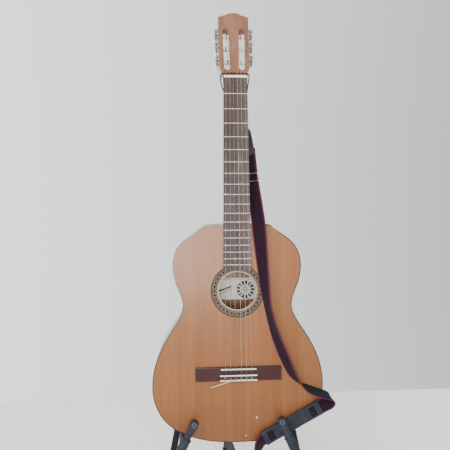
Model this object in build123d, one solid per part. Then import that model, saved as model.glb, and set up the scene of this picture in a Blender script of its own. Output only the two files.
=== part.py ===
"""A classical guitar with a shoulder strap, standing in a folding A-frame stand.

Millimetres.  The guitar and the front frame of the stand are drawn upright and then leaned
back together.  In that upright frame a place is (x, u, w): x to the right, u up along the
guitar from the lowest point of the body, w out of the face of the soundboard.
"""
from build123d import *
from math import atan, cos, degrees, pi, radians, sin, tan
import os

# ------------------------------------------------------------------ driving dimensions
LEAN = 12.0                 # how far the guitar leans back
GUITAR_Y = -201.17          # where the lowest point of the soundboard stands
GUITAR_Z = 176.0

SCALE = 650.0               # string length, nut to saddle
NUT_U = 812.0
SADDLE_U = NUT_U - SCALE
BODY_TOP_U = 484.0
BODY_DEPTH = 95.0
PLATE = 2.6                 # soundboard and back
SIDE = 2.2                  # sides and bindings
BINDING_DEEP = 6.0
HOLE_U = 333.6
HOLE_R = 42.0
ROSETTE = (44.0, 59.5)      # inner and outer radius of the inlaid ring
ROSETTE_DEEP = 0.8
LABEL, LABEL_MID, PAPER = (100.0, 52.0), (10.0, 329.0), 0.3

BOARD_THICK = 7.0
BOARD_END_U = 379.0
NUT_HALF = 26.6             # half width of the fingerboard at the nut
NUT_SHORT = 1.4             # how far each end of the nut stops inside the fingerboard
BOARD_HALF_12 = 30.1        # half width of the fingerboard over the body joint
FRET_COUNT = 18
FRET_HIGH = 1.1
FRET_HALF = 1.2
NUT_THICK = 5.0
NUT_TOP_W = 8.6
NECK_DEEP = (15.0, 17.5)    # below the fingerboard, at the nut and at the heel

BRIDGE_HALF = 95.3
BRIDGE_U = (135.4, 166.4)
TIE_HALF = 41.0
TIE_TOP_W = 9.0
SADDLE_TOP_W = 10.8
STRING_SPACING = (11.6, 8.4)            # at the saddle and at the nut
STRING_R = (0.55, 0.46, 0.38, 0.52, 0.41, 0.36)   # low E to high E

HEAD_TILT = 15.0
HEAD_THICK = 20.0
VENEER = 2.5
HEAD_LONG = 157.0           # nut to the shoulders of the crown
CROWN = 13.6                # middle of the crown over its shoulders
HEAD_W = 2.0                # where the face of the head meets the nut
HEAD_SIDE_X = 32.2          # half width at the nut end, before it curves into the neck
HEAD_FLARE = degrees(atan(0.0222))      # each side opens by this much
SLOT_P = -16.0              # middle of a slot, inwards from the side
SLOT_WIDE = 14.0
SLOT_S = (16.0, 126.5)      # ends of a slot, up from the nut
ROLLER_S = (41.2, 76.2, 110.8)
ROLLER_N = -10.0
ROLLER_R = 4.9
CORE_R = 2.4
RUNNING = 0.05              # radial clearance of a turning shaft
GEAR_R = 7.8
GEAR_P = (3.5, 8.5)
WORM_RISE = 10.2            # worm above its gear
WORM_R = 2.0
WORM_P = 6.0
TAB_THICK = 1.4
TAB_N = (-1.5, -18.5)       # outer faces of the two tabs that hold a worm
PLATE_THICK = 1.2
BUTTON_N = (-33.0, -51.0)
BUTTON_TURN = (25, 90, 40, 60, 110, 140)

TUBE_R = 8.0                # stand legs
LEG_W = -110.0
LEG_X = 136.0               # leg centre at the height of the arms
LEG_SLOPE = 0.203
ARM_U = 7.3                 # height where the leg positions are given
# support arms: side, name, x and u of the axle, lean outwards and length up to the paddle
ARMS = ((1, "right", 112.1, 6.2, 24.3, 51.2), (-1, "left", 121.5, 10.0, 28.0, 48.4))
ARM_R = 5.5
POST_CORE_R = 4.6
COVER_R = 10.0              # rubber over the axle
POST_R = 10.5               # rubber over the lower part of the post
POST_W = 28.0               # how far the upright part of an arm is in front of the soundboard
POST_BELOW = 30.0           # how far it goes on below its axle
SLEEVE_ABOVE = 14.0         # where its thick sleeve ends, above the axle
NECK_R = 7.3                # between the sleeve and the paddle
PADDLE_R, PADDLE_THICK = 9.8, 15.0
BRACKET_HIGH = 17.0         # half height of the clamp on a leg
BRACKET_W = (-124.0, -99.0)
HUB_U = (386.0, 424.0)
HUB_AXIS_U, HUB_AXIS_W = 396.0, -136.0
REAR_SPREAD = 34.0          # between the front frame and the rear leg
FOOT_LONG = 46.0
FOOT_R = 11.5
GAP = 0.3                   # between pieces that only rest on each other
HUB_BACK_W = -101.0         # the face of the hub that the back pad is on
HUB_WALL, HUB_ROUND = 6.0, 6.0
FORK = (13.0, 31.0)         # inner and outer faces of the fork's cheeks, from the middle
BOLT_R, BOLT_HALF = 4.0, 34.0
BOLT_HEAD_R, BOLT_HEAD_THICK = 7.5, 5.0
BACK_PAD_HALF, BACK_PAD_U, BACK_PAD_ROUND = 70.0, (391.0, 419.0), 9.0
BOOT_BELOW, BOOT_BORE = 24.0, 9.0   # rubber past the leg's end, and where its socket begins
BRACKET_WALL, BRACKET_REACH, BRACKET_ROUND = 3.0, 15.0, 7.0
AXLE_PAST, CAP_THICK = 24.0, 9.0    # the axle behind the leg, and the cap on its end
BOSS_R, BOSS_WIDE = 12.0, 25.4      # the rear leg's eye, between the cheeks

PIN_W, PIN_R = -48.0, 3.2    # the end pin, under the body
STRAP_WIDE, STRAP_THICK = 32.0, 2.5
# the route of the strap from the neck to the end pin: x, u, w and the direction of its width
STRAP_ROUTE = [
    (33.0, 655, -22.5, .72, 0, .69), (35.5, 622, -19, .74, 0, .67), (38.0, 590, -16.5, .76, 0, .65),
    (41.5, 560, -14, .80, 0, .60), (44.8, 532, -10, .86, 0, .50), (46.9, 506, -3, .92, 0, .39),
    (48.3, 482, 8.0, .97, 0, .25), (51.0, 448, 10.5, .88, 0, .47), (53.8, 411, 12.5, .78, 0, .62),
    (56.8, 377, 13.8, .66, 0, .75), (59.5, 344, 14.8, .57, 0, .82), (64.5, 304, 16, .34, .08, .93),
    (73.0, 266, 16, .37, .12, .92), (83.5, 232, 15, .48, .16, .86), (97.5, 196, 14.5, .56, .25, .79),
    (113, 160, 15.5, .47, .25, .85), (122.5, 143, 16.5, .33, .25, .91), (135, 128, 17, .08, .05, .99),
    (150, 119, 17.5, 0, -.33, .94), (168, 111, 17.5, 0, -.38, .92), (185, 105.5, 17.5, 0, -.38, .92),
    (197.5, 101.5, 17.5, .05, -.32, .95), (204.5, 96, 17, .22, -.40, .89), (202, 89.5, 15.5, .40, -.62, .68),
    (195, 84.5, 13.5, .46, -.82, .34), (185, 79, 12, .46, -.89, .05), (150, 60.8, 12, .46, -.89, 0),
    (117, 43.6, 12, .46, -.89, 0), (84, 26.4, 12, .46, -.89, 0), (56, 11.8, 12, .46, -.89, -.05),
    (46, 2, 11, .75, -.45, -.48), (41.5, -15, 9.5, .60, -.15, -.78), (36, -38, 3, .50, 0, -.86),
    (26, -59, -9, .30, .05, -.95), (10, -72, -22, 0, .10, -1), (-6, -73, -34, -.35, .10, -.93),
    (-16, -63, -42, -.75, .10, -.65), (-19, -48, -46, -.92, 0, -.40), (-19.5, -32, -47, -.90, 0, -.43)]
TOP_LEATHER = [(23, 706, -29, .80, 0, .60), (26.5, 690, -27.5, .78, 0, .62),
               (30, 672, -25.5, .74, 0, .66), (34.2, 640, -20.8, .73, 0, .68)]
END_LEATHER = [(-19.3, -42, -46.5, -.91, 0, -.41), (-19.8, -27, -47.3, -.80, 0, -.60),
               (-19.2, -15, -48, -.45, 0, -.89), (-15.5, -7.5, -48, 0, 0, -1), (-8, -4.0, -48, 0, 0, -1),
               (16, -2.7, -48, 0, 0, -1)]
LEATHER_WIDE = (27.0, 30.0)             # at the neck and at the end pin
LEATHER_THICK = 4.0
PAD_ENDS = ((180.5, 76.7, 12), (53, 10.3, 12))
PAD_WIDE, PAD_THICK = 32.4, 9.6
SLIDE_U = (598.0, 580.0)
LACE_R = 1.5
# the lace that ties the strap round the head, under the strings
LACE_ROUTE = [
    (27, 693, -31.5), (26, 720, -27.5), (26.5, 750, -23.5), (28, 778, -21), (30.5, 800, -19),
    (32.6, 813, -10), (32.2, 821.3, 2.0), (22, 822.5, 2.7), (8, 823.2, 2.5), (-8, 823.2, 2.5),
    (-22, 822.5, 2.7), (-32.2, 821.3, 2.0), (-32.6, 813, -10), (-29.5, 799, -20), (-20, 781, -24),
    (-6, 762, -26), (7, 740, -28), (17, 718, -30), (23, 698, -33)]
TAIL_R = 1.1
TAIL_ROUTE = [(-11.5, 139.5, 10.9), (-25, 134.5, 10.4), (-43, 128.5, 6.6), (-61, 121.5, 1.6)]

OUTLINE = [(0, 0), (100, 13), (155, 42.5), (184, 87), (190, 128), (180.5, 182), (145, 250),
           (121.8, 299), (138, 353), (144.3, 392), (127, 440), (85, 472), (0, BODY_TOP_U)]

INSET_STEPS = 36            # points along half an outline that is moved in

LEANED = Location((0, GUITAR_Y, GUITAR_Z), (-LEAN, 0, 0))
HEAD = Location((0, -HEAD_W, NUT_U + NUT_THICK), (-HEAD_TILT, 0, 0))
TUNERS = HEAD * Location((HEAD_SIDE_X, 0, 0), (0, HEAD_FLARE, 0))
os.makedirs("parts", exist_ok=True)


# ------------------------------------------------------------------ helpers
def spot(x, u, w):
    """A place in the upright frame of the guitar."""
    return Vector(x, -w, u)


def slab(face, w0, w1):
    """A face drawn in x and u, made solid between two depths."""
    return extrude(Plane.XZ.offset(w0) * face, w1 - w0)


def block(x0, x1, u0, u1, w0, w1):
    """A box between two corners of the upright frame."""
    size = (abs(x1 - x0), abs(w1 - w0), abs(u1 - u0))
    return Pos((x0 + x1) / 2, -(w0 + w1) / 2, (u0 + u1) / 2) * Box(*size)


def rod(start, end, radius):
    """A round bar from one place to another."""
    start, end = Vector(*start), Vector(*end)
    along = end - start
    bar = Cylinder(radius, along.length, align=(Align.CENTER, Align.CENTER, Align.MIN))
    return Plane(origin=start, z_dir=along) * bar


def mirrored(shape):
    return mirror(shape, about=Plane.YZ)


def side_half(shape, side):
    """The part of a shape on the left (-1) or the right (1)."""
    reach = 400
    return shape & Pos(side * reach / 2, 0, BODY_TOP_U / 2) * Box(reach, reach, 3 * reach)


def solids_of(*shapes):
    """Every solid of some shapes, to be kept apart in one node."""
    return [solid for shape in shapes for solid in shape.solids()]


def write(name, *shapes, where=LEANED):
    placed = [solid.moved(where) for solid in solids_of(*shapes)]
    whole = Compound(children=placed) if len(placed) > 1 else placed[0]
    export_step(whole, "parts/" + name + ".step")


def fret_u(number):
    """Where a fret lies, by equal temperament."""
    return NUT_U - SCALE * (1 - 2 ** (-number / 12))


def board_half(u):
    """Half the width of the fingerboard at a height."""
    return NUT_HALF + (BOARD_HALF_12 - NUT_HALF) * (NUT_U - u) / (NUT_U - fret_u(12))


# ------------------------------------------------------------------ the body of the guitar
def outline(inset=0.0):
    """The outline of the body, moved in by an inset along its normals."""
    right = Spline(*OUTLINE, tangents=((1, 0), (-1, 0)))
    if inset:
        stations = [step / INSET_STEPS for step in range(INSET_STEPS + 1)]
        ahead = [(right @ t, right % t) for t in stations]
        moved = [(mid.X - inset * way.Y, mid.Y + inset * way.X) for mid, way in ahead]
        moved[0], moved[-1] = (0, inset), (0, BODY_TOP_U - inset)
        right = Spline(*moved, tangents=((1, 0), (-1, 0)))
    return make_face([right, mirror(right, about=Plane.YZ)])


def hoop(outer, inner):
    """The strip between two insets of the outline."""
    return outline(outer) - outline(inner)


def disc(radius, u=HOLE_U):
    return Pos(0, u) * Circle(radius)


def build_body():
    inside = outline(SIDE)
    ring = disc(ROSETTE[1]) - disc(ROSETTE[0])
    top = slab(inside - disc(HOLE_R), -PLATE, 0) - slab(ring, -ROSETTE_DEEP, 1)
    write("soundboard", top)
    write("rosette", slab(ring, -ROSETTE_DEEP, 0))
    write("back_plate", slab(inside, -BODY_DEPTH, PLATE - BODY_DEPTH))
    edge = hoop(0, SIDE)
    write("top_binding", slab(edge, -BINDING_DEEP, 0))
    write("back_binding", slab(edge, -BODY_DEPTH, BINDING_DEEP - BODY_DEPTH))
    walls = slab(edge, BINDING_DEEP - BODY_DEPTH, -BINDING_DEEP)
    pin_hole = rod(spot(0, -1, -48), spot(0, 20, -48), PIN_R)
    walls = walls - pin_hole
    write("rib_left", side_half(walls, -1))
    write("rib_right", side_half(walls, 1))
    kerf = hoop(SIDE, SIDE + 6)
    for_blocks = block(-36, 36, -5, 16, 0, -BODY_DEPTH) + block(-36, 36, 464, 490, 0, -BODY_DEPTH)
    linings = slab(kerf, -PLATE - 12, -PLATE) + slab(kerf, PLATE - BODY_DEPTH, PLATE + 12 - BODY_DEPTH)
    write("linings", linings - for_blocks)
    within = slab(inside, PLATE - BODY_DEPTH, -PLATE)
    write("tail_block", (within & block(-35, 35, -5, 15, 0, -BODY_DEPTH)) - pin_hole)
    write("head_block", within & block(-35, 35, 465, 490, 0, -BODY_DEPTH))
    write("label", slab(Pos(*LABEL_MID) * Rectangle(*LABEL), PLATE - BODY_DEPTH, PLATE + PAPER - BODY_DEPTH))
    build_braces()


def build_braces():
    """Struts glued to the inside of the soundboard and of the back."""
    room = slab(outline(SIDE + 8), PLATE - BODY_DEPTH, -PLATE)
    top = [block(-140, 140, u - 4, u + 4, -PLATE, -PLATE - 14) for u in (277, 391)]
    fan_root = 268.0
    for number in (-2, -1, 0, 1, 2):
        lean = Location((number * 22, 0, fan_root), (0, -number * 7.0, 0))
        long = fan_root - 70 - 6 * abs(number)
        strut = lean * Pos(0, PLATE + 3, -long / 2 - 6) * Box(6, 6, long)
        top.append(strut)
    write("soundboard_braces", *[(strut & room) for strut in top])
    back = [block(-180, 180, u - 4, u + 4, PLATE - BODY_DEPTH, PLATE + 12 - BODY_DEPTH)
            for u in (110, 238, 385)]
    write("back_braces", *[(strut & room) for strut in back])


# ------------------------------------------------------------------ the neck and the head
def neck_shaft():
    low, high = BODY_TOP_U, NUT_U + NUT_THICK
    sections = []
    for u, deep in ((low, NECK_DEEP[1]), ((low + high) / 2, sum(NECK_DEEP) / 2), (high, NECK_DEEP[0])):
        half = board_half(min(u, NUT_U))
        face = Ellipse(half, deep) & Pos(0, deep / 2) * Rectangle(2 * half, deep)
        sections.append(Pos(0, 0, u) * face)
    return loft(sections)


def heel():
    """The foot of the neck, narrowing towards the back of the body."""
    rows = [(-2.0, 30.2, 46.0), (-20.0, 24.0, 34.0), (-50.0, 16.5, 23.0), (3 - BODY_DEPTH, 13.0, 17.0)]
    faces = []
    for w, half, long in rows:
        curve = Spline((half, 0), (half * 0.62, long * 0.72), (0, long), tangents=((0, 1), (-1, 0)))
        other = mirror(curve, about=Plane.YZ)
        face = make_face([curve, other, Line((-half, 0), (half, 0))])
        faces.append(Plane.XZ.offset(w) * Pos(0, BODY_TOP_U) * face)
    return loft(faces)


def head_outline():
    """The outline of the head with its stepped crown, in x and height above the nut."""
    side_top = HEAD_LONG
    top_x = HEAD_SIDE_X + side_top * tan(radians(HEAD_FLARE))
    low_x = HEAD_SIDE_X + 24 * tan(radians(HEAD_FLARE))
    right = [
        Spline((NUT_HALF, -9), (NUT_HALF + 0.6, 2), (low_x, 24), tangents=((0, 1), (0.0222, 1))),
        Line((low_x, 24), (top_x, side_top)),
        ThreePointArc((top_x, side_top), (top_x - 2.0, side_top + 2.6), (top_x - 5, side_top + 3)),
        ThreePointArc((top_x - 5, side_top + 3), (27.5, side_top + 4.2), (24.6, side_top + 6.6)),
        ThreePointArc((24.6, side_top + 6.6), (19.5, side_top + 7.2), (15.2, side_top + 9.8)),
        ThreePointArc((15.2, side_top + 9.8), (8, side_top + CROWN - 0.7), (0, side_top + CROWN))]
    left = [mirror(piece, about=Plane.YZ) for piece in right]
    return make_face(right + left + [Line((-NUT_HALF, -9), (NUT_HALF, -9))])


def tuner_slot():
    """The cut for one bank of rollers: a long slot, and a ramp up to the nut."""
    low, high = SLOT_S
    cut = Pos(SLOT_P, (low + high) / 2) * Rot(0, 0, 90) * SlotOverall(high - low, SLOT_WIDE)
    through = extrude(Plane.XZ.offset(5) * cut, -HEAD_THICK - 10)
    ramp = make_face(Polyline((6, 1), (30, 1), (30, -14), close=True))
    ramp_plane = Plane(origin=(SLOT_P, 0, 0), x_dir=(0, 0, 1), z_dir=(1, 0, 0))
    ramp_cut = extrude(ramp_plane * mirror(ramp, about=Plane.XZ), SLOT_WIDE / 2 - 0.5, both=True)
    return TUNERS * (through + ramp_cut)


def roller_bores():
    """Bores for the three rollers of one side, through the cheek and into the middle of the head."""
    bores = [rod((12, -ROLLER_N, s), (SLOT_P - SLOT_WIDE / 2 - 5, -ROLLER_N, s), CORE_R + RUNNING)
             for s in ROLLER_S]
    return TUNERS * Compound(children=bores)


def build_neck():
    head_face = head_outline()
    wood = HEAD * extrude(Plane.XZ.offset(-VENEER) * head_face, VENEER - HEAD_THICK)
    lowered = block(-60, 60, NUT_U - 30, NUT_U + NUT_THICK, 0, 60)
    whole = neck_shaft() + heel() + (wood - lowered)
    slots = tuner_slot()
    bores = roller_bores()
    for cut in (slots, mirrored(slots), *bores.solids(), *mirrored(bores).solids()):
        whole = whole - cut
    whole = whole - block(-60, 60, NUT_U - 30, NUT_U + NUT_THICK, 0.0, 30)
    write("neck", whole)
    veneer = HEAD * extrude(Plane.XZ * head_face, -VENEER)
    veneer = veneer - block(-60, 60, NUT_U - 30, NUT_U + NUT_THICK, -30, 30)
    write("head_veneer", veneer - slots - mirrored(slots))
    cap = Spline((13, 0), (13 * 0.62, 17 * 0.72), (0, 17), tangents=((0, 1), (-1, 0)))
    cap_face = make_face([cap, mirror(cap, about=Plane.YZ), Line((-13, 0), (13, 0))])
    write("heel_cap", slab(Pos(0, BODY_TOP_U) * cap_face, -BODY_DEPTH, 3 - BODY_DEPTH))


def build_fingerboard():
    corners = [(-board_half(BOARD_END_U), BOARD_END_U), (board_half(BOARD_END_U), BOARD_END_U),
               (NUT_HALF, NUT_U), (-NUT_HALF, NUT_U)]
    board = slab(make_face(Polyline(*corners, close=True)), 0, BOARD_THICK)
    over_hole = slab(disc(HOLE_R + 3), -1, BOARD_THICK + 1)
    board = board - over_hole
    frets = []
    for number in range(1, FRET_COUNT + 1):
        u = fret_u(number)
        half = board_half(u) - 0.4
        crown = Plane(origin=(-half, -BOARD_THICK, u), x_dir=(0, 0, 1), z_dir=(1, 0, 0))
        bead = make_face([Line((-FRET_HALF, 0), (FRET_HALF, 0)),
                          ThreePointArc((FRET_HALF, 0), (0, FRET_HIGH), (-FRET_HALF, 0))])
        frets.append(extrude(crown * bead, 2 * half))
    write("fingerboard", board)
    write("frets", *frets)
    nut_half = NUT_HALF - NUT_SHORT
    nut = block(-nut_half, nut_half, NUT_U, NUT_U + NUT_THICK, 0, NUT_TOP_W)
    write("nut", fillet(nut.edges().filter_by(Axis.X).group_by(Axis.Y)[0], 1.2))


# ------------------------------------------------------------------ bridge and strings
def build_bridge():
    low, high = BRIDGE_U
    wing = block(-BRIDGE_HALF, BRIDGE_HALF, low, high, 0, 4.6)
    wing = fillet(wing.edges().filter_by(Axis.X).group_by(Axis.Y)[0], 2.0)
    tie = block(-TIE_HALF, TIE_HALF, low + 1, low + 14, 0, TIE_TOP_W - 1)
    rest = block(-TIE_HALF, TIE_HALF, SADDLE_U - 5, high - 0.5, 0, 7.4)
    saddle_cut = block(-TIE_HALF + 2, TIE_HALF - 2, SADDLE_U - 1.3, SADDLE_U + 1.3, 2.4, 20)
    write("bridge", wing + tie + rest - saddle_cut)
    saddle = block(-TIE_HALF + 2, TIE_HALF - 2, SADDLE_U - 1.3, SADDLE_U + 1.3, 2.4, SADDLE_TOP_W)
    write("saddle", fillet(saddle.edges().filter_by(Axis.X).group_by(Axis.Y)[0], 1.1))
    trims = [block(-TIE_HALF, TIE_HALF, u - 1.3, u + 1.3, TIE_TOP_W - 1, TIE_TOP_W)
             for u in (low + 2.3, low + 12.7)]
    write("tie_block_trims", *trims)


def string_x(number, u):
    """Where a string runs: 0 is the low E, on the left."""
    at_saddle, at_nut = STRING_SPACING
    spacing = at_saddle + (at_nut - at_saddle) * (u - SADDLE_U) / SCALE
    return (number - 2.5) * spacing


def roller_number(string):
    """Which roller of its bank takes a string: the outer strings go to the nearest."""
    return string if string < 3 else 5 - string


def roller_mid(side, row):
    """The middle of a roller's spool, and the place where its string comes in."""
    mid = (TUNERS * Location((SLOT_P, -ROLLER_N, ROLLER_S[row]))).position
    return Vector(side * mid.X, mid.Y, mid.Z)


def string_solid(number):
    """One string: tie block, saddle, nut and down to its roller."""
    radius = STRING_R[number]
    side = -1 if number < 3 else 1
    mid = roller_mid(side, roller_number(number))
    tilt = radians(HEAD_TILT)
    lift = ROLLER_R + radius + 0.15
    onto = Vector(mid.X, mid.Y - lift * cos(tilt), mid.Z + lift * sin(tilt))
    stations = [spot(string_x(number, SADDLE_U), BRIDGE_U[0] + 14, 4.0 + radius),
                spot(string_x(number, SADDLE_U), SADDLE_U, SADDLE_TOP_W + radius),
                spot(string_x(number, NUT_U), NUT_U + NUT_THICK / 2, NUT_TOP_W + radius),
                onto]
    whole = rod(stations[0], stations[1], radius)
    for start, end in zip(stations[1:-1], stations[2:]):
        whole = whole + rod(start, end, radius) + Pos(start) * Sphere(radius)
    return whole


def build_strings():
    write("bass_strings", *[string_solid(number) for number in (0, 1, 2)])
    write("treble_strings", *[string_solid(number) for number in (3, 4, 5)])
    write("string_tails", tube(TAIL_ROUTE, TAIL_R))


# ------------------------------------------------------------------ tuning machines
def plate_solid():
    """A side plate with two tabs for every worm."""
    low, high = ROLLER_S[0] - 15, ROLLER_S[-1] + 18
    plate = Pos(PLATE_THICK / 2, -ROLLER_N, (low + high) / 2) * Box(PLATE_THICK, 17, high - low)
    for s in ROLLER_S:
        for face_n, inward in ((TAB_N[0], -1), (TAB_N[1], 1)):
            mid_n = face_n + inward * TAB_THICK / 2
            reach = WORM_P + 3.5
            tab = Pos(reach / 2, -mid_n, s + WORM_RISE) * Box(reach, TAB_THICK, 8)
            plate = plate + tab
        plate = plate - rod((-5, -ROLLER_N, s), (10, -ROLLER_N, s), CORE_R + RUNNING)
        worm = s + WORM_RISE
        plate = plate - rod((WORM_P, -5, worm), (WORM_P, 30, worm), WORM_R + RUNNING)
    return plate


def roller_solids(row):
    """A plastic spool on its steel core, with the gear and the screw that holds it."""
    s = ROLLER_S[row]
    y = -ROLLER_N
    spool_half = SLOT_WIDE / 2 - 0.4
    core = rod((SLOT_P - SLOT_WIDE / 2 - 4.5, y, s), (GEAR_P[1], y, s), CORE_R)
    spool = rod((SLOT_P - spool_half, y, s), (SLOT_P + spool_half, y, s), ROLLER_R) - core
    gear = rod((GEAR_P[0], y, s), (GEAR_P[1], y, s), GEAR_R)
    gear = gear + rod((PLATE_THICK + GAP, y, s), (GEAR_P[0], y, s), 3.6) - core
    screw = rod((GEAR_P[1], y, s), (GEAR_P[1] + 1.5, y, s), 2.7)
    return [core, spool, gear, screw]


def peg_solids(row, turn):
    """A worm shaft and its pearl button."""
    s = ROLLER_S[row] + WORM_RISE
    shaft = rod((WORM_P, -0.5, s), (WORM_P, -BUTTON_N[0] + 2, s), WORM_R)
    collar = rod((WORM_P, 20.5, s), (WORM_P, 22.5, s), 3.0)
    near, far = BUTTON_N
    flat = Plane(origin=(WORM_P, -near, s), x_dir=(1, 0, 0), z_dir=(0, 1, 0)) * Rot(0, 0, turn)
    button = extrude(flat * Ellipse(8.0, 4.3), near - far)
    button = fillet(button.edges().group_by(Axis.Y)[-1], 1.8)
    neck = rod((WORM_P, -near - 5, s), (WORM_P, -near, s), 3.4)
    return [shaft + collar, (button + neck) - shaft]


def build_tuners():
    for side, name in ((-1, "left"), (1, "right")):
        plate = TUNERS * plate_solid()
        write("tuner_plate_" + name, plate if side > 0 else mirrored(plate))
    screws = []
    for s in (ROLLER_S[0] - 12, ROLLER_S[0] + 23.5, ROLLER_S[1] + 23.5, ROLLER_S[2] + 15.5):
        screw = TUNERS * rod((PLATE_THICK, -ROLLER_N, s), (PLATE_THICK + 1.4, -ROLLER_N, s), 2.6)
        screws += [screw, mirrored(screw)]
    write("plate_screws", *screws)
    for number in range(6):
        row = number if number < 3 else number - 3
        moving = [TUNERS * solid for solid in roller_solids(row)]
        turning = [TUNERS * solid for solid in peg_solids(row, BUTTON_TURN[number])]
        if number < 3:
            moving = [mirrored(solid) for solid in moving]
            turning = [mirrored(solid) for solid in turning]
        write("roller_" + str(number + 1), *moving)
        write("peg_" + str(number + 1), *turning)


# ------------------------------------------------------------------ strap and other soft pieces
def ribbon(stations, wide, thick):
    """A flat band through stations, closed with flat triangles."""
    mids = [spot(*row[:3]) for row in stations]
    rings = []
    for number, row in enumerate(stations):
        before, after = mids[max(number - 1, 0)], mids[min(number + 1, len(mids) - 1)]
        along = (after - before).normalized()
        across = spot(*row[3:])
        across = (across - along * across.dot(along)).normalized()
        normal = along.cross(across)
        half = across * (wide / 2)
        skin = normal * (thick / 2)
        mid = mids[number]
        rings.append([mid - half - skin, mid + half - skin, mid + half + skin, mid - half + skin])
    faces = [Face(Wire.make_polygon(rings[0])), Face(Wire.make_polygon(rings[-1]))]
    for low, high in zip(rings, rings[1:]):
        for corner in range(4):
            after = (corner + 1) % 4
            faces.append(Face(Wire.make_polygon([low[corner], low[after], high[after]])))
            faces.append(Face(Wire.make_polygon([low[corner], high[after], high[corner]])))
    return Solid(Shell(faces))


def tube(route, radius):
    """A round cord of straight runs joined by tangent arcs."""
    points = [spot(*place) for place in route]
    radii = []
    for before, here, after in zip(points, points[1:], points[2:]):
        runs = (here - before, after - here)
        turn = runs[0].get_angle(runs[1])
        radii.append(0.45 * min(run.length for run in runs) / tan(radians(turn) / 2))
    print("arc radii", [round(value, 1) for value in radii])
    path = FilletPolyline(*points, radius=radii)
    section = Plane(origin=path @ 0, z_dir=path % 0) * Circle(radius)
    cord = sweep(section, path=path)
    print("volume over section times length", round(cord.volume / (pi * radius ** 2 * path.length), 4))
    return cord


def build_strap():
    write("strap", ribbon(STRAP_ROUTE, STRAP_WIDE, STRAP_THICK))
    write("strap_leathers", *[ribbon(stations, wide, LEATHER_THICK)
                              for stations, wide in zip((TOP_LEATHER, END_LEATHER), LEATHER_WIDE)])
    start, end = PAD_ENDS
    across = (.46, -.89, 0)
    middle = [(a + b) / 2 for a, b in zip(start, end)]
    rows = [(*start, *across), (*middle, *across), (*end, *across)]
    write("shoulder_pad", ribbon(rows, PAD_WIDE, PAD_THICK))
    build_slide()
    write("strap_lace", tube(LACE_ROUTE, LACE_R))
    post = rod(spot(0, 14, PIN_W), spot(0, -9, PIN_W), PIN_R)
    write("end_pin", post + rod(spot(0, -6.2, PIN_W), spot(0, -10.5, PIN_W), 6.5))


def build_slide():
    """The wire slide that sets the length of the strap: two bars joined at their ends."""
    bars = []
    for x, w, u in ((36.9, -17.0, SLIDE_U[0]), (39.0, -15.2, SLIDE_U[1])):
        half = Vector(.76, -.65, 0).normalized() * (STRAP_WIDE / 2 + 2.5)
        bars.append((spot(x, u, w) - half, spot(x, u, w) + half))
    (a, b), (c, d) = bars
    lift = spot(-.65, 0, .76) * 2.6
    wire = None
    for start, end in ((a, b), (b, d), (d, c), (c, a)):
        piece = rod(start + lift, end + lift, 1.2) + Pos(start + lift) * Sphere(1.2)
        wire = piece if wire is None else wire + piece
    write("strap_slide", wire)



# ------------------------------------------------------------------ the stand
def leg_x(u):
    """Where the middle of a front leg is at a height."""
    return LEG_X + (ARM_U - u) * LEG_SLOPE


def leg_foot_u():
    """The height, along the lean, where a front leg reaches the floor."""
    return -(GUITAR_Z + LEG_W * sin(radians(LEAN))) / cos(radians(LEAN))


def front_leg():
    low = leg_foot_u() + BOOT_BORE
    high = HUB_U[0] + 26
    return rod(spot(leg_x(low), low, LEG_W), spot(leg_x(high), high, LEG_W), TUBE_R)


def foot(start, towards, leg_radius):
    """A rubber boot on the end of a leg, cut flat by the floor."""
    along = (towards - start).normalized()
    boot = rod(start - along * BOOT_BELOW, start + along * FOOT_LONG, FOOT_R)
    bore = rod(start + along * BOOT_BORE, start + along * (FOOT_LONG + 5), leg_radius)
    floor = Pos(0, 0, -100) * Box(2000, 2000, 200)
    return boot - floor - bore


def build_front_frame():
    leg = front_leg()
    write("front_leg_right", leg)
    write("front_leg_left", mirrored(leg))
    base = leg_foot_u()
    bottom = LEANED * Pos(spot(leg_x(base), base, LEG_W))
    higher = LEANED * Pos(spot(leg_x(base + 100), base + 100, LEG_W))
    low, high = bottom.position, higher.position
    boot = foot(low, high, TUBE_R)
    write("front_feet", boot, mirrored(boot), where=Location())
    write("hub", hub(leg))
    bolt = rod((-BOLT_HALF, -HUB_AXIS_W, HUB_AXIS_U), (BOLT_HALF, -HUB_AXIS_W, HUB_AXIS_U), BOLT_R)
    heads = [rod((side * FORK[1], -HUB_AXIS_W, HUB_AXIS_U),
                 (side * (FORK[1] + BOLT_HEAD_THICK), -HUB_AXIS_W, HUB_AXIS_U), BOLT_HEAD_R)
             for side in (-1, 1)]
    write("hub_bolt", bolt + heads[0] + heads[1])
    pad = block(-BACK_PAD_HALF, BACK_PAD_HALF, *BACK_PAD_U, -BODY_DEPTH - GAP, HUB_BACK_W)
    write("back_pad", fillet(pad.edges().filter_by(Axis.Y), BACK_PAD_ROUND))


def hub(leg):
    """The moulded head of the stand: two leg sockets and a fork for the rear leg."""
    low, high = HUB_U
    half = leg_x(low) + TUBE_R + HUB_WALL
    top = leg_x(high) + TUBE_R + HUB_WALL - 1
    face = make_face(Polyline((-half, low), (half, low), (top, high), (-top, high), close=True))
    body = slab(face, LEG_W - 12, HUB_BACK_W)
    body = fillet(body.edges().filter_by(Axis.Y), HUB_ROUND)
    body = body - leg - mirrored(leg)
    for side in (-1, 1):
        cheek = block(side * FORK[0], side * FORK[1], HUB_AXIS_U - 13, HUB_AXIS_U + 20,
                      LEG_W - 12, HUB_AXIS_W - 13)
        body = body + cheek
    return body - rod((-60, -HUB_AXIS_W, HUB_AXIS_U), (60, -HUB_AXIS_W, HUB_AXIS_U), BOLT_R)


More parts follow.
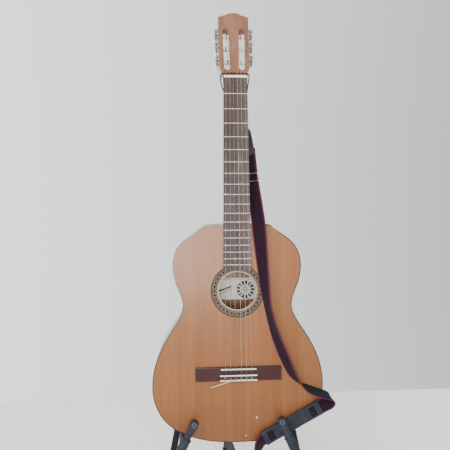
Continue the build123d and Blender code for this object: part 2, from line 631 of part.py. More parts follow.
def bracket(leg, x, u):
    """The clamp on a leg that carries the axle of a support arm."""
    shell = block(x - COVER_R - BRACKET_WALL, LEG_X + BRACKET_REACH, u - BRACKET_HIGH, u + BRACKET_HIGH, *BRACKET_W)
    shell = fillet(shell.edges().filter_by(Axis.Y), BRACKET_ROUND)
    return shell - leg - rod(spot(x, u, 0), spot(x, u, -200), ARM_R + RUNNING)


def arm_solids(x, u, lean, reach):
    """A support arm for the right side: its steel, and the rubber that the guitar rests in."""
    lean = radians(lean)
    middle = spot(x, u, POST_W)
    up = Vector(-sin(lean), 0, cos(lean))
    tip, low = middle + up * reach, middle - up * POST_BELOW
    axle_end = spot(x, u, LEG_W - AXLE_PAST)
    inside = middle + spot(0, 0, 2)
    core = rod(axle_end, inside, ARM_R) + rod(low + up * 5, tip - up * 3, POST_CORE_R)
    cap = rod(axle_end, spot(x, u, LEG_W - AXLE_PAST + CAP_THICK), COVER_R - 1) - core
    sleeve = rod(spot(x, u, LEG_W + 12), inside, COVER_R)
    post = rod(low, middle + up * SLEEVE_ABOVE, POST_R) + rod(middle, tip, NECK_R)
    paddle = Plane(origin=tip + spot(0, 0, -PADDLE_THICK / 2), z_dir=spot(0, 0, 1)) * Cylinder(
        PADDLE_R, PADDLE_THICK, align=(Align.CENTER, Align.CENTER, Align.MIN))
    return [core, cap], [(sleeve + post + paddle) - core]


def build_arms():
    leg = front_leg()
    for side, name, x, u, lean, reach in ARMS:
        steel, rubber = arm_solids(x, u, lean, reach)
        nodes = {"arm_bracket_": [bracket(leg, x, u)], "arm_": steel, "arm_rubber_": rubber}
        for kind, solids in nodes.items():
            write(kind + name, *[solid if side > 0 else mirrored(solid) for solid in solids])


def build_rear_leg():
    """The single rear leg, hinged in the fork of the hub, with its rubber foot."""
    pivot = (LEANED * Pos(0, -HUB_AXIS_W, HUB_AXIS_U)).position
    swing = radians(REAR_SPREAD - LEAN)
    down = Vector(0, sin(swing), -cos(swing))
    length = pivot.Z / cos(swing)
    floor_point = pivot + down * length
    boss = Pos(pivot) * Rot(0, 90, 0) * Cylinder(BOSS_R, BOSS_WIDE)
    bar = rod(pivot + down * 6, floor_point - down * BOOT_BORE, TUBE_R)
    bore = Pos(pivot) * Rot(0, 90, 0) * Cylinder(BOLT_R + RUNNING, 60)
    write("rear_leg", (boss + bar) - bore, where=Location())
    write("rear_foot", foot(floor_point, pivot, TUBE_R), where=Location())
    print("rear pivot", [round(value, 3) for value in pivot])


build_body()
build_neck()
build_fingerboard()
build_bridge()
build_strings()
build_tuners()
build_strap()
build_front_frame()
build_arms()
build_rear_leg()
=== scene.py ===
"""The looks of a classical guitar on its stand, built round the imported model.  Metres.

Places on the guitar are given as (x, u, w) in millimetres, as in the model: x to the right, u up
along the guitar from the lowest point of its body, w out of the face of the soundboard.
"""
import math

import bmesh
import bpy
from mathutils import Matrix, Vector


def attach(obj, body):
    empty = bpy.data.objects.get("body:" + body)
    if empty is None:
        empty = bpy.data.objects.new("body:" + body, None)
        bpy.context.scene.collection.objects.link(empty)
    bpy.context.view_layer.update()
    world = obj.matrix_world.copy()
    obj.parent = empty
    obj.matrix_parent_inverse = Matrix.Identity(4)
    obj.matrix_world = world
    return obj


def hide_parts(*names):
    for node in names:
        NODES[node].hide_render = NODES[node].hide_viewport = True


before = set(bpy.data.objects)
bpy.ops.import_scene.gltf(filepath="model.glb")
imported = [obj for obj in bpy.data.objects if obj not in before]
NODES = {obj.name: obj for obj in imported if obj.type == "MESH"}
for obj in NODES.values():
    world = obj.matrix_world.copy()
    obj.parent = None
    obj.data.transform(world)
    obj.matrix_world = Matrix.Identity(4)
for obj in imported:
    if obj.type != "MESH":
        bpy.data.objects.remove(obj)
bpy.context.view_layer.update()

# ------------------------------------------------------------------ driving dimensions
MM = 0.001
LEAN = math.radians(12.0)
GUITAR_Y, GUITAR_Z = -201.17, 176.0
NUT_U, SCALE = 812.0, 650.0
SADDLE_U = NUT_U - SCALE
NUT_THICK, NUT_TOP_W = 5.0, 8.6
SADDLE_TOP_W = 10.8
STRING_SPACING = (11.6, 8.4)
STRING_R = (0.55, 0.46, 0.38, 0.52, 0.41, 0.36)
HEAD_TILT = math.radians(15.0)
HEAD_W, HEAD_SIDE_X = 2.0, 32.2
HEAD_FLARE = math.atan(0.0222)
SLOT_P, SLOT_WIDE = -16.0, 14.0
ROLLER_S = (41.2, 76.2, 110.8)
ROLLER_N, ROLLER_R, CORE_R = -10.0, 4.9, 2.4
GEAR_R, GEAR_P = 7.8, (3.5, 8.5)
WORM_RISE, WORM_P = 10.2, 6.0
BUTTON_TURN = (25, 90, 40, 60, 110, 140)
HOLE_U = 333.6
MEDALLION = (0.0276, 0.3270)            # middle of the ring on the label
LEG_W, LEG_X, LEG_SLOPE = -110.0, 136.0, 0.203
ARM_U, COVER_R = 7.3, 10.0
HUB_AXIS_U, HUB_AXIS_W, REAR_SPREAD = 396.0, -136.0, math.radians(34.0)
FOOT_LONG, FOOT_R, FOOT_BELOW = 46.0, 11.5, 24.0
FLOOR_GAP = 0.0002                      # between a worn sole and the floor
# support arms: side, name, x and u of the axle, lean outwards and length up to the paddle
ARMS = ((1, "right", 112.1, 6.2, 24.3, 51.2), (-1, "left", 121.5, 10.0, 28.0, 48.4))
POST_W, POST_BELOW, PADDLE_R, PADDLE_THICK = 28.0, 30.0, 9.8, 15.0
POST_R, SLEEVE_ABOVE, NECK_R = 10.1, 14.0, 7.5
STRAP_WIDE, STRAP_THICK = 32.0, 2.5
PAD_ENDS = ((180.5, 76.7, 12), (53, 10.3, 12))
PAD_WIDE, PAD_THICK = 32.4, 9.6
PAD_LONG = (Vector(PAD_ENDS[1]) - Vector(PAD_ENDS[0])).length
PAD_WINDOWS = (-52.0, 52.5)             # middles of the two windows, along the pad
PAD_WINDOW = (14.0, 22.0)               # each window along and across the pad
PAD_CORNER = 5.0
FACE_SIDE = 1.0                         # which side of the band is its woven face
PIN_W = -48.0
STRAP_ROUTE = [
    (33.0, 655, -22.5, .72, 0, .69), (35.5, 622, -19, .74, 0, .67), (38.0, 590, -16.5, .76, 0, .65),
    (41.5, 560, -14, .80, 0, .60), (44.8, 532, -10, .86, 0, .50), (46.9, 506, -3, .92, 0, .39),
    (48.3, 482, 8.0, .97, 0, .25), (51.0, 448, 10.5, .88, 0, .47), (53.8, 411, 12.5, .78, 0, .62),
    (56.8, 377, 13.8, .66, 0, .75), (59.5, 344, 14.8, .57, 0, .82), (64.5, 304, 16, .34, .08, .93),
    (73.0, 266, 16, .37, .12, .92), (83.5, 232, 15, .48, .16, .86), (97.5, 196, 14.5, .56, .25, .79),
    (113, 160, 15.5, .47, .25, .85), (122.5, 143, 16.5, .33, .25, .91), (135, 128, 17, .08, .05, .99),
    (150, 119, 17.5, 0, -.33, .94), (168, 111, 17.5, 0, -.38, .92), (185, 105.5, 17.5, 0, -.38, .92),
    (197.5, 101.5, 17.5, .05, -.32, .95), (204.5, 96, 17, .22, -.40, .89), (202, 89.5, 15.5, .40, -.62, .68),
    (195, 84.5, 13.5, .46, -.82, .34), (185, 79, 12, .46, -.89, .05), (150, 60.8, 12, .46, -.89, 0),
    (117, 43.6, 12, .46, -.89, 0), (84, 26.4, 12, .46, -.89, 0), (56, 11.8, 12, .46, -.89, -.05),
    (46, 2, 11, .75, -.45, -.48), (41.5, -15, 9.5, .60, -.15, -.78), (36, -38, 3, .50, 0, -.86),
    (26, -59, -9, .30, .05, -.95), (10, -72, -22, 0, .10, -1), (-6, -73, -34, -.35, .10, -.93),
    (-16, -63, -42, -.75, .10, -.65), (-19, -48, -46, -.92, 0, -.40), (-19.5, -32, -47, -.90, 0, -.43)]
TOP_LEATHER = [(23, 706, -29, .80, 0, .60), (26.5, 690, -27.5, .78, 0, .62),
               (30, 672, -25.5, .74, 0, .66), (34.2, 640, -20.8, .73, 0, .68)]
END_LEATHER = [(-19.3, -42, -46.5, -.91, 0, -.41), (-19.8, -27, -47.3, -.80, 0, -.60),
               (-19.2, -15, -48, -.45, 0, -.89), (-15.5, -7.5, -48, 0, 0, -1), (-8, -4.0, -48, 0, 0, -1),
               (16, -2.7, -48, 0, 0, -1)]
LACE_R = 1.5
LACE_ROUTE = [
    (27, 693, -31.5), (26, 720, -27.5), (26.5, 750, -23.5), (28, 778, -21), (30.5, 800, -19),
    (32.6, 813, -10), (32.2, 821.3, 2.0), (22, 822.5, 2.7), (8, 823.2, 2.5), (-8, 823.2, 2.5),
    (-22, 822.5, 2.7), (-32.2, 821.3, 2.0), (-32.6, 813, -10), (-29.5, 799, -20), (-20, 781, -24),
    (-6, 762, -26), (7, 740, -28), (17, 718, -30), (23, 698, -33)]
TAIL_ROUTE = [(-11.5, 139.5, 10.9), (-25, 134.5, 10.4), (-43, 128.5, 6.6), (-61, 121.5, 1.6)]

LEANED = Matrix.Translation((0, GUITAR_Y * MM, GUITAR_Z * MM)) @ Matrix.Rotation(-LEAN, 4, "X")


# ------------------------------------------------------------------ places
def spot(x, u, w):
    """A place on the guitar, in the row frame."""
    return LEANED @ Vector((x * MM, -w * MM, u * MM))


def way(x, u, w):
    """A direction on the guitar, in the row frame."""
    return (LEANED.to_3x3() @ Vector((x, -w, u))).normalized()


def head_spot(side, p, n, s):
    """A place by a bank of tuners: p out of the head's side, n out of its face, s up its side."""
    tuners = (Matrix.Translation((0, -HEAD_W, NUT_U + NUT_THICK)) @ Matrix.Rotation(-HEAD_TILT, 4, "X")
              @ Matrix.Translation((HEAD_SIDE_X, 0, 0)) @ Matrix.Rotation(HEAD_FLARE, 4, "Y"))
    place = tuners @ Vector((p, -n, s))
    return LEANED @ (Vector((side * place.x, place.y, place.z)) * MM)


def string_x(number, u):
    at_saddle, at_nut = STRING_SPACING
    return (number - 2.5) * (at_saddle + (at_nut - at_saddle) * (u - SADDLE_U) / SCALE)


# ------------------------------------------------------------------ camera, light and floor
CAMERA_PLACE = (-94.4, 448.3, 1089.3)
CAMERA_AIM = (0.0624, 0.0297, -0.9976)
CAMERA_UP = (0.0086, 0.9995, 0.0303)
FOCAL_OVER_WIDTH = 488 / 450


def make_camera():
    lens = bpy.data.cameras.new("camera")
    lens.sensor_width = 36.0
    lens.lens = 36.0 * FOCAL_OVER_WIDTH
    lens.clip_end = 50
    camera = bpy.data.objects.new("camera", lens)
    bpy.context.scene.collection.objects.link(camera)
    back = -way(*CAMERA_AIM)
    right = way(*CAMERA_UP).cross(back).normalized()
    up = back.cross(right)
    turn = Matrix((right, up, back)).transposed().to_4x4()
    camera.matrix_world = Matrix.Translation(spot(*CAMERA_PLACE)) @ turn
    bpy.context.scene.camera = camera


def add_light(name, place, aim, size, power, tint):
    data = bpy.data.lights.new(name, "AREA")
    data.shape = "RECTANGLE"
    data.size, data.size_y = size
    data.energy = power
    data.color = tint
    lamp = bpy.data.objects.new(name, data)
    bpy.context.scene.collection.objects.link(lamp)
    lamp.location = place
    lamp.rotation_euler = (Vector(aim) - Vector(place)).to_track_quat("-Z", "Y").to_euler()


def make_stage():
    world = bpy.data.worlds.new("studio")
    bpy.context.scene.world = world
    world.use_nodes = True
    tree = world.node_tree
    sky = tree.nodes["Background"]
    sky.inputs["Strength"].default_value = 1.35
    where = tree.nodes.new("ShaderNodeTexCoord")
    split = tree.nodes.new("ShaderNodeSeparateXYZ")
    ramp = tree.nodes.new("ShaderNodeValToRGB")
    sums = tree.nodes.new("ShaderNodeMath")
    sums.operation = "MULTIPLY_ADD"
    sums.inputs[1].default_value = -0.5
    tree.links.new(where.outputs["Generated"], split.inputs[0])
    tree.links.new(split.outputs[0], sums.inputs[0])
    sums.inputs[2].default_value = 0.5
    tree.links.new(sums.outputs[0], ramp.inputs[0])
    tree.links.new(ramp.outputs[0], sky.inputs["Color"])
    first, last = ramp.color_ramp.elements
    first.position, first.color = 0.26, (0.62, 0.615, 0.60, 1)
    last.position, last.color = 0.74, (1.35, 1.38, 1.43, 1)
    add_light("key", (-1.5, -1.7, 2.3), (0, 0, 0.65), (0.9, 0.9), 26, (1.0, 0.985, 0.96))
    add_light("sheen", spot(-150, 440, 1600), spot(-60, 380, 0), (0.55, 0.55), 22, (1.0, 0.99, 0.985))
    add_light("back", (0.4, 1.8, 1.9), (0, 0, 0.6), (1.8, 1.2), 12, (1, 1, 1))
    bpy.ops.mesh.primitive_grid_add(x_subdivisions=40, y_subdivisions=20, size=1, location=(0, -1.35, 0))
    floor = bpy.context.object
    floor.name = "floor"
    floor.scale = (6.0, 3.32, 1)
    paint = Paint("floor_paint", rough=0.5)
    paint.blotch(paint.noise(paint.place(), 1.5, 3), (0.86, 0.84, 0.76), (0.93, 0.91, 0.84))
    floor.data.materials.append(paint.material)


# ------------------------------------------------------------------ materials
class Paint:
    """A material, with short ways to add the nodes that most of them use."""

    def __init__(self, name, rough=0.5, metal=0.0, **settings):
        self.material = bpy.data.materials.new(name)
        self.material.use_nodes = True
        self.tree = self.material.node_tree
        self.shader = self.tree.nodes["Principled BSDF"]
        self.shader.inputs["Roughness"].default_value = rough
        self.shader.inputs["Metallic"].default_value = metal
        for words, value in settings.items():
            self.shader.inputs[words.replace("_", " ").title().replace("Ior", "IOR")].default_value = value

    def feed(self, socket, value):
        if isinstance(value, bpy.types.NodeSocket):
            self.tree.links.new(value, socket)
        elif isinstance(value, tuple) and len(value) == 3 and socket.type == "RGBA":
            socket.default_value = (*value, 1)
        else:
            socket.default_value = value

    def add(self, kind, out=0, settings=(), **inputs):
        """A node, its inputs fed by name, and the socket that it gives."""
        node = self.tree.nodes.new("ShaderNode" + kind)
        for key, value in dict(settings).items():
            setattr(node, key, value)
        for key, value in inputs.items():
            index = int(key[1:]) if key[0] == "i" and key[1:].isdigit() else key
            self.feed(node.inputs[index], value)
        return node.outputs[out]

    def set(self, name, value):
        self.feed(self.shader.inputs[name], value)

    def place(self):
        return self.add("TexCoord", "Object")

    def upright(self):
        """Metres along x, depth and height of the guitar before it leans."""
        return self.add("Mapping", 0, {"vector_type": "TEXTURE"}, Vector=self.place(),
                        Location=(0, GUITAR_Y * MM, GUITAR_Z * MM), Rotation=(-LEAN, 0, 0))

    def uv(self):
        return self.add("TexCoord", "UV")

    def parts(self, vector):
        node = self.tree.nodes.new("ShaderNodeSeparateXYZ")
        self.feed(node.inputs[0], vector)
        return node.outputs[0], node.outputs[1], node.outputs[2]

    def join(self, x, y, z):
        return self.add("CombineXYZ", 0, (), X=x, Y=y, Z=z)

    def calc(self, operation, *values):
        inputs = {"i" + str(index): value for index, value in enumerate(values)}
        return self.add("Math", 0, {"operation": operation}, **inputs)

    def times(self, a, b):
        return self.calc("MULTIPLY", a, b)

    def minus(self, a, b):
        return self.calc("SUBTRACT", a, b)

    def plus(self, a, b):
        return self.calc("ADD", a, b)

    def most(self, a, b):
        return self.calc("MAXIMUM", a, b)

    def under(self, value, limit):
        return self.calc("LESS_THAN", value, limit)

    def stripes(self, value, count, share=0.25):
        """1 on even bands across a value, count of them for each 1 that it grows, else 0."""
        return self.under(self.calc("PINGPONG", self.times(value, count), 0.5), share)

    def length(self, vector):
        return self.add("VectorMath", "Value", {"operation": "LENGTH"}, i0=vector)

    def stretch(self, vector, x, y, z):
        return self.add("Mapping", 0, (), Vector=vector, Scale=(x, y, z))

    def noise(self, vector, scale, detail=3.0, rough=0.55, bend=0.0):
        return self.add("TexNoise", "Fac", (), Vector=vector, Scale=scale, Detail=detail,
                        Roughness=rough, Distortion=bend)

    def ramp(self, fac, stops, smooth=True):
        node = self.tree.nodes.new("ShaderNodeValToRGB")
        node.color_ramp.interpolation = "EASE" if smooth else "CONSTANT"
        bands = node.color_ramp.elements
        while len(bands) < len(stops):
            bands.new(0.5)
        for band, (spot_at, color) in zip(bands, stops):
            band.position = spot_at
            band.color = (*color, 1) if isinstance(color, tuple) else (color, color, color, 1)
        self.feed(node.inputs[0], fac)
        return node.outputs[0]

    def mix(self, fac, a, b, blend="MIX"):
        node = self.tree.nodes.new("ShaderNodeMix")
        node.data_type = "RGBA"
        node.blend_type = blend
        self.feed(node.inputs[0], fac)
        self.feed(node.inputs[6], a)
        self.feed(node.inputs[7], b)
        return node.outputs[2]

    def blotch(self, fac, low, high, start=0.3, stop=0.7):
        """Base colour that goes from one to another over part of a pattern."""
        self.set("Base Color", self.ramp(fac, [(start, low), (stop, high)]))

    def dull(self, fac, low, high, start=0.3, stop=0.7):
        self.set("Roughness", self.ramp(fac, [(start, low), (stop, high)]))

    def bump(self, height, strength=0.3, deep=0.0005):
        self.set("Normal", self.add("Bump", 0, (), Height=height, Strength=strength, Distance=deep))

    def between(self, value, low, high):
        """1 where a value lies between two limits, else 0."""
        return self.times(self.calc("GREATER_THAN", value, low), self.under(value, high))


def grain_wood(name, dark, mid, light, along="z", fine=420.0, rough=0.38, coat=0.25, fold=False, streak=0.5):
    """Lacquered wood: fine grain, broad streaks and slow changes of tone along one direction."""
    paint = Paint(name, rough, coat_weight=coat * 0.5, coat_roughness=0.2, specular_ior_level=0.22)
    x, y, z = paint.parts(paint.upright())
    if fold:
        x = paint.calc("ABSOLUTE", x)
    if along == "z":
        across = paint.join(x, y, paint.times(z, 0.018))
    else:
        across = paint.join(paint.times(x, 0.03), y, z)
    lines = paint.noise(across, fine, 4, 0.65, 0.2)
    bands = paint.noise(across, fine * 0.09, 3, 0.5, 0.6)
    slow = paint.noise(paint.join(x, y, paint.times(z, 0.35)), 7.0, 2)
    tone = paint.plus(paint.times(lines, 1 - streak), paint.times(bands, streak))
    tone = paint.plus(tone, paint.times(paint.minus(slow, 0.5), 0.35))
    color = paint.ramp(tone, [(0.28, dark), (0.5, mid), (0.74, light)])
    paint.set("Base Color", color)
    paint.dull(slow, rough - 0.06, rough + 0.08)
    paint.bump(lines, 0.25, 0.0002)
    return paint, color, (x, y, z)


def soundboard_paint():
    paint, color, (x, y, z) = grain_wood(
        "cedar_top", (0.140, 0.046, 0.012), (0.205, 0.075, 0.021), (0.27, 0.108, 0.035), fine=900,
        rough=0.36, coat=0.35, fold=True, streak=0.45)
    # painted light: the wood colour is multiplied darker towards the bottom of the body as painted shade,
    # and lighter and cooler towards the top as a painted sheen
    painted_shade_and_sheen = paint.ramp(z, [(0.0, (0.72, 0.66, 0.62)), (0.16, (0.95, 0.92, 0.90)), (0.42, (1.10, 1.12, 1.20))])
    color = paint.mix(1.0, color, painted_shade_and_sheen, "MULTIPLY")
    flecks = paint.noise(paint.stretch(paint.join(x, y, z), 30, 1, 520), 1.0, 2)
    color = paint.mix(paint.times(flecks, 0.10), color, (0.42, 0.21, 0.10))
    true_x = paint.parts(paint.upright())[0]
    for mark_x, mark_u, size in ((40.4, 52.6, 3.0), (-25.3, 40.6, 1.3), (15.4, 14.0, 2.2), (-27, 54, 0.9)):
        off = paint.join(paint.minus(true_x, mark_x * MM), 0.0, paint.minus(z, mark_u * MM))
        far = paint.length(off)
        far = paint.plus(far, paint.times(paint.noise(off, 900.0, 1), 0.0015))
        spot_in = paint.under(far, size * MM)
        color = paint.mix(spot_in, color, (0.66, 0.40, 0.22) if size > 2 else (0.16, 0.07, 0.035))
    radius = hole_radius(paint, true_x, z)
    color = paint.mix(paint.between(radius, 0.0, 0.0432), color, (0.55, 0.40, 0.24))
    color = paint.mix(paint.between(radius, 0.0432, 0.0445), color, (0.05, 0.03, 0.02))
    paint.set("Base Color", color)
    return paint.material


def hole_radius(paint, x, z):
    off = paint.join(x, 0.0, paint.minus(z, HOLE_U * MM))
    return paint.length(off)


def rosette_paint():
    """A mosaic of small tiles between plain rings."""
    paint = Paint("rosette_mosaic", 0.5, specular_ior_level=0.1)
    x, _, z = paint.parts(paint.upright())
    radius = hole_radius(paint, x, z)
    angle = paint.calc("ARCTAN2", paint.minus(z, HOLE_U * MM), x)
    turn = paint.times(angle, 34 / (2 * math.pi))
    cell = paint.calc("PINGPONG", turn, 0.5)
    step = paint.times(paint.minus(radius, 0.0475), 1 / 0.009)
    peak = paint.calc("ABSOLUTE", paint.minus(step, 0.45))
    near = paint.plus(cell, paint.times(peak, 0.9))
    tile = paint.stripes(turn, 4.0)
    rows = paint.stripes(step, 4.0)
    check = paint.calc("ABSOLUTE", paint.minus(tile, rows))
    ground = paint.mix(check, (0.045, 0.034, 0.028), (0.135, 0.108, 0.088))
    pale = paint.mix(check, (0.30, 0.25, 0.20), (0.15, 0.115, 0.09))
    middle = paint.mix(paint.under(near, 0.40), ground, pale)
    middle = paint.mix(paint.under(near, 0.33), middle, (0.004, 0.003, 0.003))
    rings = paint.ramp(paint.times(paint.minus(radius, 0.0440), 1 / 0.0155), [
        (0.0, (0.30, 0.20, 0.12)), (0.10, (0.03, 0.02, 0.014)), (0.14, (0.22, 0.13, 0.075)),
        (0.18, (0.03, 0.02, 0.014)), (0.22, (0.26, 0.18, 0.11)), (0.82, (0.012, 0.008, 0.006)),
        (0.87, (0.12, 0.08, 0.055)), (0.91, (0.012, 0.008, 0.006)), (0.96, (0.02, 0.012, 0.008))],
        smooth=False)
    color = paint.mix(paint.between(radius, 0.0476, 0.0565), rings, middle)
    paint.set("Base Color", color)
    paint.bump(paint.noise(paint.join(x, 0.0, z), 600.0, 2), 0.1, 0.0002)
    return paint.material


def label_paint():
    """Aged paper with a generic sunburst ring."""
    paint = Paint("label_paper", 0.8)
    x, _, z = paint.parts(paint.upright())
    dx, dz = paint.minus(x, MEDALLION[0]), paint.minus(z, MEDALLION[1])
    radius = paint.length(paint.join(dx, 0.0, dz))
    angle = paint.calc("ARCTAN2", dz, dx)
    rays = paint.stripes(angle, 13 / (2 * math.pi), 0.34)
    ink = paint.times(paint.between(radius, 0.0125, 0.0205), rays)
    rims = paint.most(paint.between(radius, 0.0207, 0.0216), paint.between(radius, 0.0098, 0.0108))
    core = paint.times(paint.between(radius, 0.0, 0.0075), paint.stripes(angle, 6 / (2 * math.pi)))
    ink = paint.most(ink, paint.most(rims, core))
    for low, high in ((0.3040, 0.3048), (0.3512, 0.3520)):
        ink = paint.most(ink, paint.between(z, low, high))
    age = paint.noise(paint.join(x, 0.0, z), 60.0, 4)
    paper = paint.ramp(age, [(0.3, (0.80, 0.78, 0.73)), (0.7, (0.92, 0.91, 0.87))])
    along = paint.minus(z, paint.times(x, 0.36))
    for low, high, left, right in ((0.3292, 0.3308, -0.044, -0.004), (0.3352, 0.3392, -0.040, -0.006)):
        stroke = paint.times(paint.between(along, low, high), paint.between(x, left, right))
        ink = paint.most(ink, stroke)
    paint.set("Base Color", paint.mix(ink, paper, (0.035, 0.03, 0.028)))
    return paint.material


def fingerboard_paint():
    paint, color, (x, y, z) = grain_wood(
        "rosewood_board", (0.024, 0.015, 0.015), (0.058, 0.039, 0.038), (0.125, 0.092, 0.088), fine=520,
        rough=0.52, coat=0.0, streak=0.62)
    wear = paint.noise(paint.stretch(paint.join(x, y, z), 60, 1, 14), 1.0, 3)
    color = paint.mix(paint.ramp(wear, [(0.52, 0.0), (0.75, 0.35)]), color, (0.21, 0.165, 0.15))
    paint.set("Base Color", color)
    return paint.material


def back_paint():
    """Back in two matched halves with an inlaid strip down the joint."""
    paint, color, (_, _, z) = grain_wood(
        "mahogany_back", (0.085, 0.026, 0.013), (0.15, 0.055, 0.028), (0.22, 0.092, 0.05), fine=420,
        rough=0.30, coat=0.4, fold=True, streak=0.6)
    true_x = paint.calc("ABSOLUTE", paint.parts(paint.upright())[0])
    blocks = paint.stripes(z, 170.0)
    strip = paint.mix(blocks, (0.36, 0.24, 0.12), (0.07, 0.03, 0.02))
    color = paint.mix(paint.between(true_x, -1.0, 0.0032), color, (0.03, 0.02, 0.015))
    color = paint.mix(paint.between(true_x, -1.0, 0.0022), color, strip)
    paint.set("Base Color", color)
    return paint.material


def smooth_plastic(name, color, rough=0.35, **settings):
    """Moulded plastic with a faint mottling and scuffs."""
    paint = Paint(name, rough, **settings)
    cloud = paint.noise(paint.place(), 140.0, 4)
    low = tuple(channel * 0.86 for channel in color)
    high = tuple(min(1.0, channel * 1.10) for channel in color)
    paint.blotch(cloud, low, high, 0.32, 0.68)
    scuff = paint.noise(paint.stretch(paint.place(), 60, 400, 90), 1.0, 4)
    paint.dull(scuff, rough - 0.08, rough + 0.12, 0.35, 0.7)
    paint.bump(paint.noise(paint.place(), 1800.0, 2), 0.12, 0.0001)
    return paint.material


def worn_metal(name, color, rough=0.3, tarnish=(0.20, 0.18, 0.16), amount=0.5, metal=1.0):
    paint = Paint(name, rough, metal)
    cloud = paint.noise(paint.place(), 260.0, 5, 0.65)
    paint.set("Base Color", paint.ramp(cloud, [(0.5 - amount * 0.3, tarnish), (0.62, color)]))
    brushed = paint.noise(paint.stretch(paint.place(), 900, 900, 60), 1.0, 3)
    paint.dull(brushed, rough - 0.08, rough + 0.14)
    paint.bump(brushed, 0.08, 0.0001)
    return paint.material


def powder_coat():
    """Satin black paint over steel tube, with fine orange peel."""
    paint = Paint("powder_coat", 0.44, specular_ior_level=0.14)
    cloud = paint.noise(paint.place(), 30.0, 4)
    paint.blotch(cloud, (0.004, 0.005, 0.008), (0.0075, 0.009, 0.012))
    paint.dull(cloud, 0.30, 0.42)
    paint.bump(paint.noise(paint.place(), 900.0, 2), 0.22, 0.00015)
    return paint.material


def rubber_paint(name, color, rough=0.62):
    paint = Paint(name, rough, specular_ior_level=0.2)
    cloud = paint.noise(paint.place(), 70.0, 5)
    dusty = tuple(channel * 1.7 + 0.003 for channel in color)
    paint.blotch(cloud, color, dusty, 0.34, 0.72)
    paint.dull(cloud, rough - 0.08, rough + 0.1)
    paint.bump(paint.noise(paint.place(), 1400.0, 3), 0.25, 0.00012)
    return paint.material


def webbing_paint(name, color, light, scale=1.0):
    """Woven band: u runs along it and v across, both in metres."""
    paint = Paint(name, 0.8, sheen_weight=0.03, sheen_roughness=0.4, specular_ior_level=0.12)
    u, v, _ = paint.parts(paint.uv())
    yarn = 1 / (0.0011 * scale)
    along = paint.calc("SINE", paint.times(u, 2 * math.pi * yarn))
    across = paint.calc("SINE", paint.times(v, 2 * math.pi * yarn * 0.9))
    weave = paint.times(along, across)
    ribs = paint.calc("ABSOLUTE", across)
    height = paint.plus(paint.times(weave, 0.5), ribs)
    fuzz = paint.noise(paint.join(u, v, 0.0), 500.0, 3)
    tone = paint.plus(paint.times(height, 0.25), paint.times(fuzz, 0.7))
    worn = paint.noise(paint.join(u, v, 0.0), 45.0, 4)
    woven = paint.ramp(tone, [(0.2, color), (0.75, light)])
    faded = tuple(min(1.0, channel * 1.5 + 0.004) for channel in light)
    paint.set("Base Color", paint.mix(paint.ramp(worn, [(0.55, 0.0), (0.8, 0.5)]), woven, faded))
    paint.bump(height, 0.55, 0.0004)
    return paint.material


def leather_paint(name, color):
    paint = Paint(name, 0.5, specular_ior_level=0.45)
    cells = paint.add("TexVoronoi", "Distance", {"feature": "DISTANCE_TO_EDGE"},
                      Vector=paint.place(), Scale=650.0)
    cloud = paint.noise(paint.place(), 55.0, 5)
    light = tuple(channel * 2.2 + 0.012 for channel in color)
    paint.blotch(cloud, color, light, 0.35, 0.75)
    paint.dull(cloud, 0.42, 0.6)
    paint.bump(cells, 0.45, 0.0004)
    return paint.material


def pearl_paint():
    """White pearl plastic with soft shifting clouds."""
    paint = Paint("pearl_button", 0.16, subsurface_weight=0.15, subsurface_scale=0.002, coat_weight=0.5,
                  coat_roughness=0.08)
    cloud = paint.noise(paint.place(), 170.0, 3, 0.6, 1.6)
    paint.set("Base Color", paint.ramp(cloud, [
        (0.3, (0.62, 0.62, 0.60)), (0.52, (0.86, 0.86, 0.84)), (0.7, (0.76, 0.79, 0.80))]))
    return paint.material


def bone_paint(name, color):
    paint = Paint(name, 0.3, subsurface_weight=0.1, subsurface_scale=0.001)
    cloud = paint.noise(paint.stretch(paint.upright(), 60, 200, 200), 1.0, 4)
    low = tuple(channel * 0.86 for channel in color)
    paint.blotch(cloud, low, color)
    paint.bump(cloud, 0.08, 0.0002)
    return paint.material


def wound_paint():
    """Silvered winding over a bass string: u runs along the string in metres."""
    paint = Paint("bass_winding", 0.32, 0.9)
    u = paint.parts(paint.uv())[0]
    turns = paint.calc("SINE", paint.times(u, 2 * math.pi / 0.0004))
    cloud = paint.noise(paint.place(), 90.0, 3)
    paint.blotch(cloud, (0.20, 0.16, 0.12), (0.36, 0.31, 0.25))
    paint.bump(turns, 0.5, 0.0001)
    return paint.material


def nylon_paint(name="nylon_string", clear=0.75, low=(0.62, 0.55, 0.45), high=(0.78, 0.72, 0.62)):
    paint = Paint(name, 0.2, transmission_weight=clear, ior=1.53)
    cloud = paint.noise(paint.place(), 60.0, 2)
    paint.blotch(cloud, low, high)
    return paint.material


# ------------------------------------------------------------------ mesh helpers
def add_mesh(name, verts, faces, body, materials, picks=None, uvs=None, smooth=True):
    """A new piece from its points and faces, riding on a body."""
    mesh = bpy.data.meshes.new(name)
    mesh.from_pydata([tuple(v) for v in verts], [], faces)
    mesh.update()
    for material in materials:
        mesh.materials.append(material)
    if picks:
        mesh.polygons.foreach_set("material_index", picks)
    if uvs:
        layer = mesh.uv_layers.new(name="along")
        for loop in mesh.loops:
            layer.data[loop.index].uv = uvs[loop.vertex_index]
    mesh.polygons.foreach_set("use_smooth", [smooth] * len(mesh.polygons))
    piece = bpy.data.objects.new(name, mesh)
    bpy.context.scene.collection.objects.link(piece)
    tidy = bmesh.new()
    tidy.from_mesh(mesh)
    bmesh.ops.recalc_face_normals(tidy, faces=tidy.faces)
    tidy.to_mesh(mesh)
    tidy.free()
    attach(piece, body)
    return piece


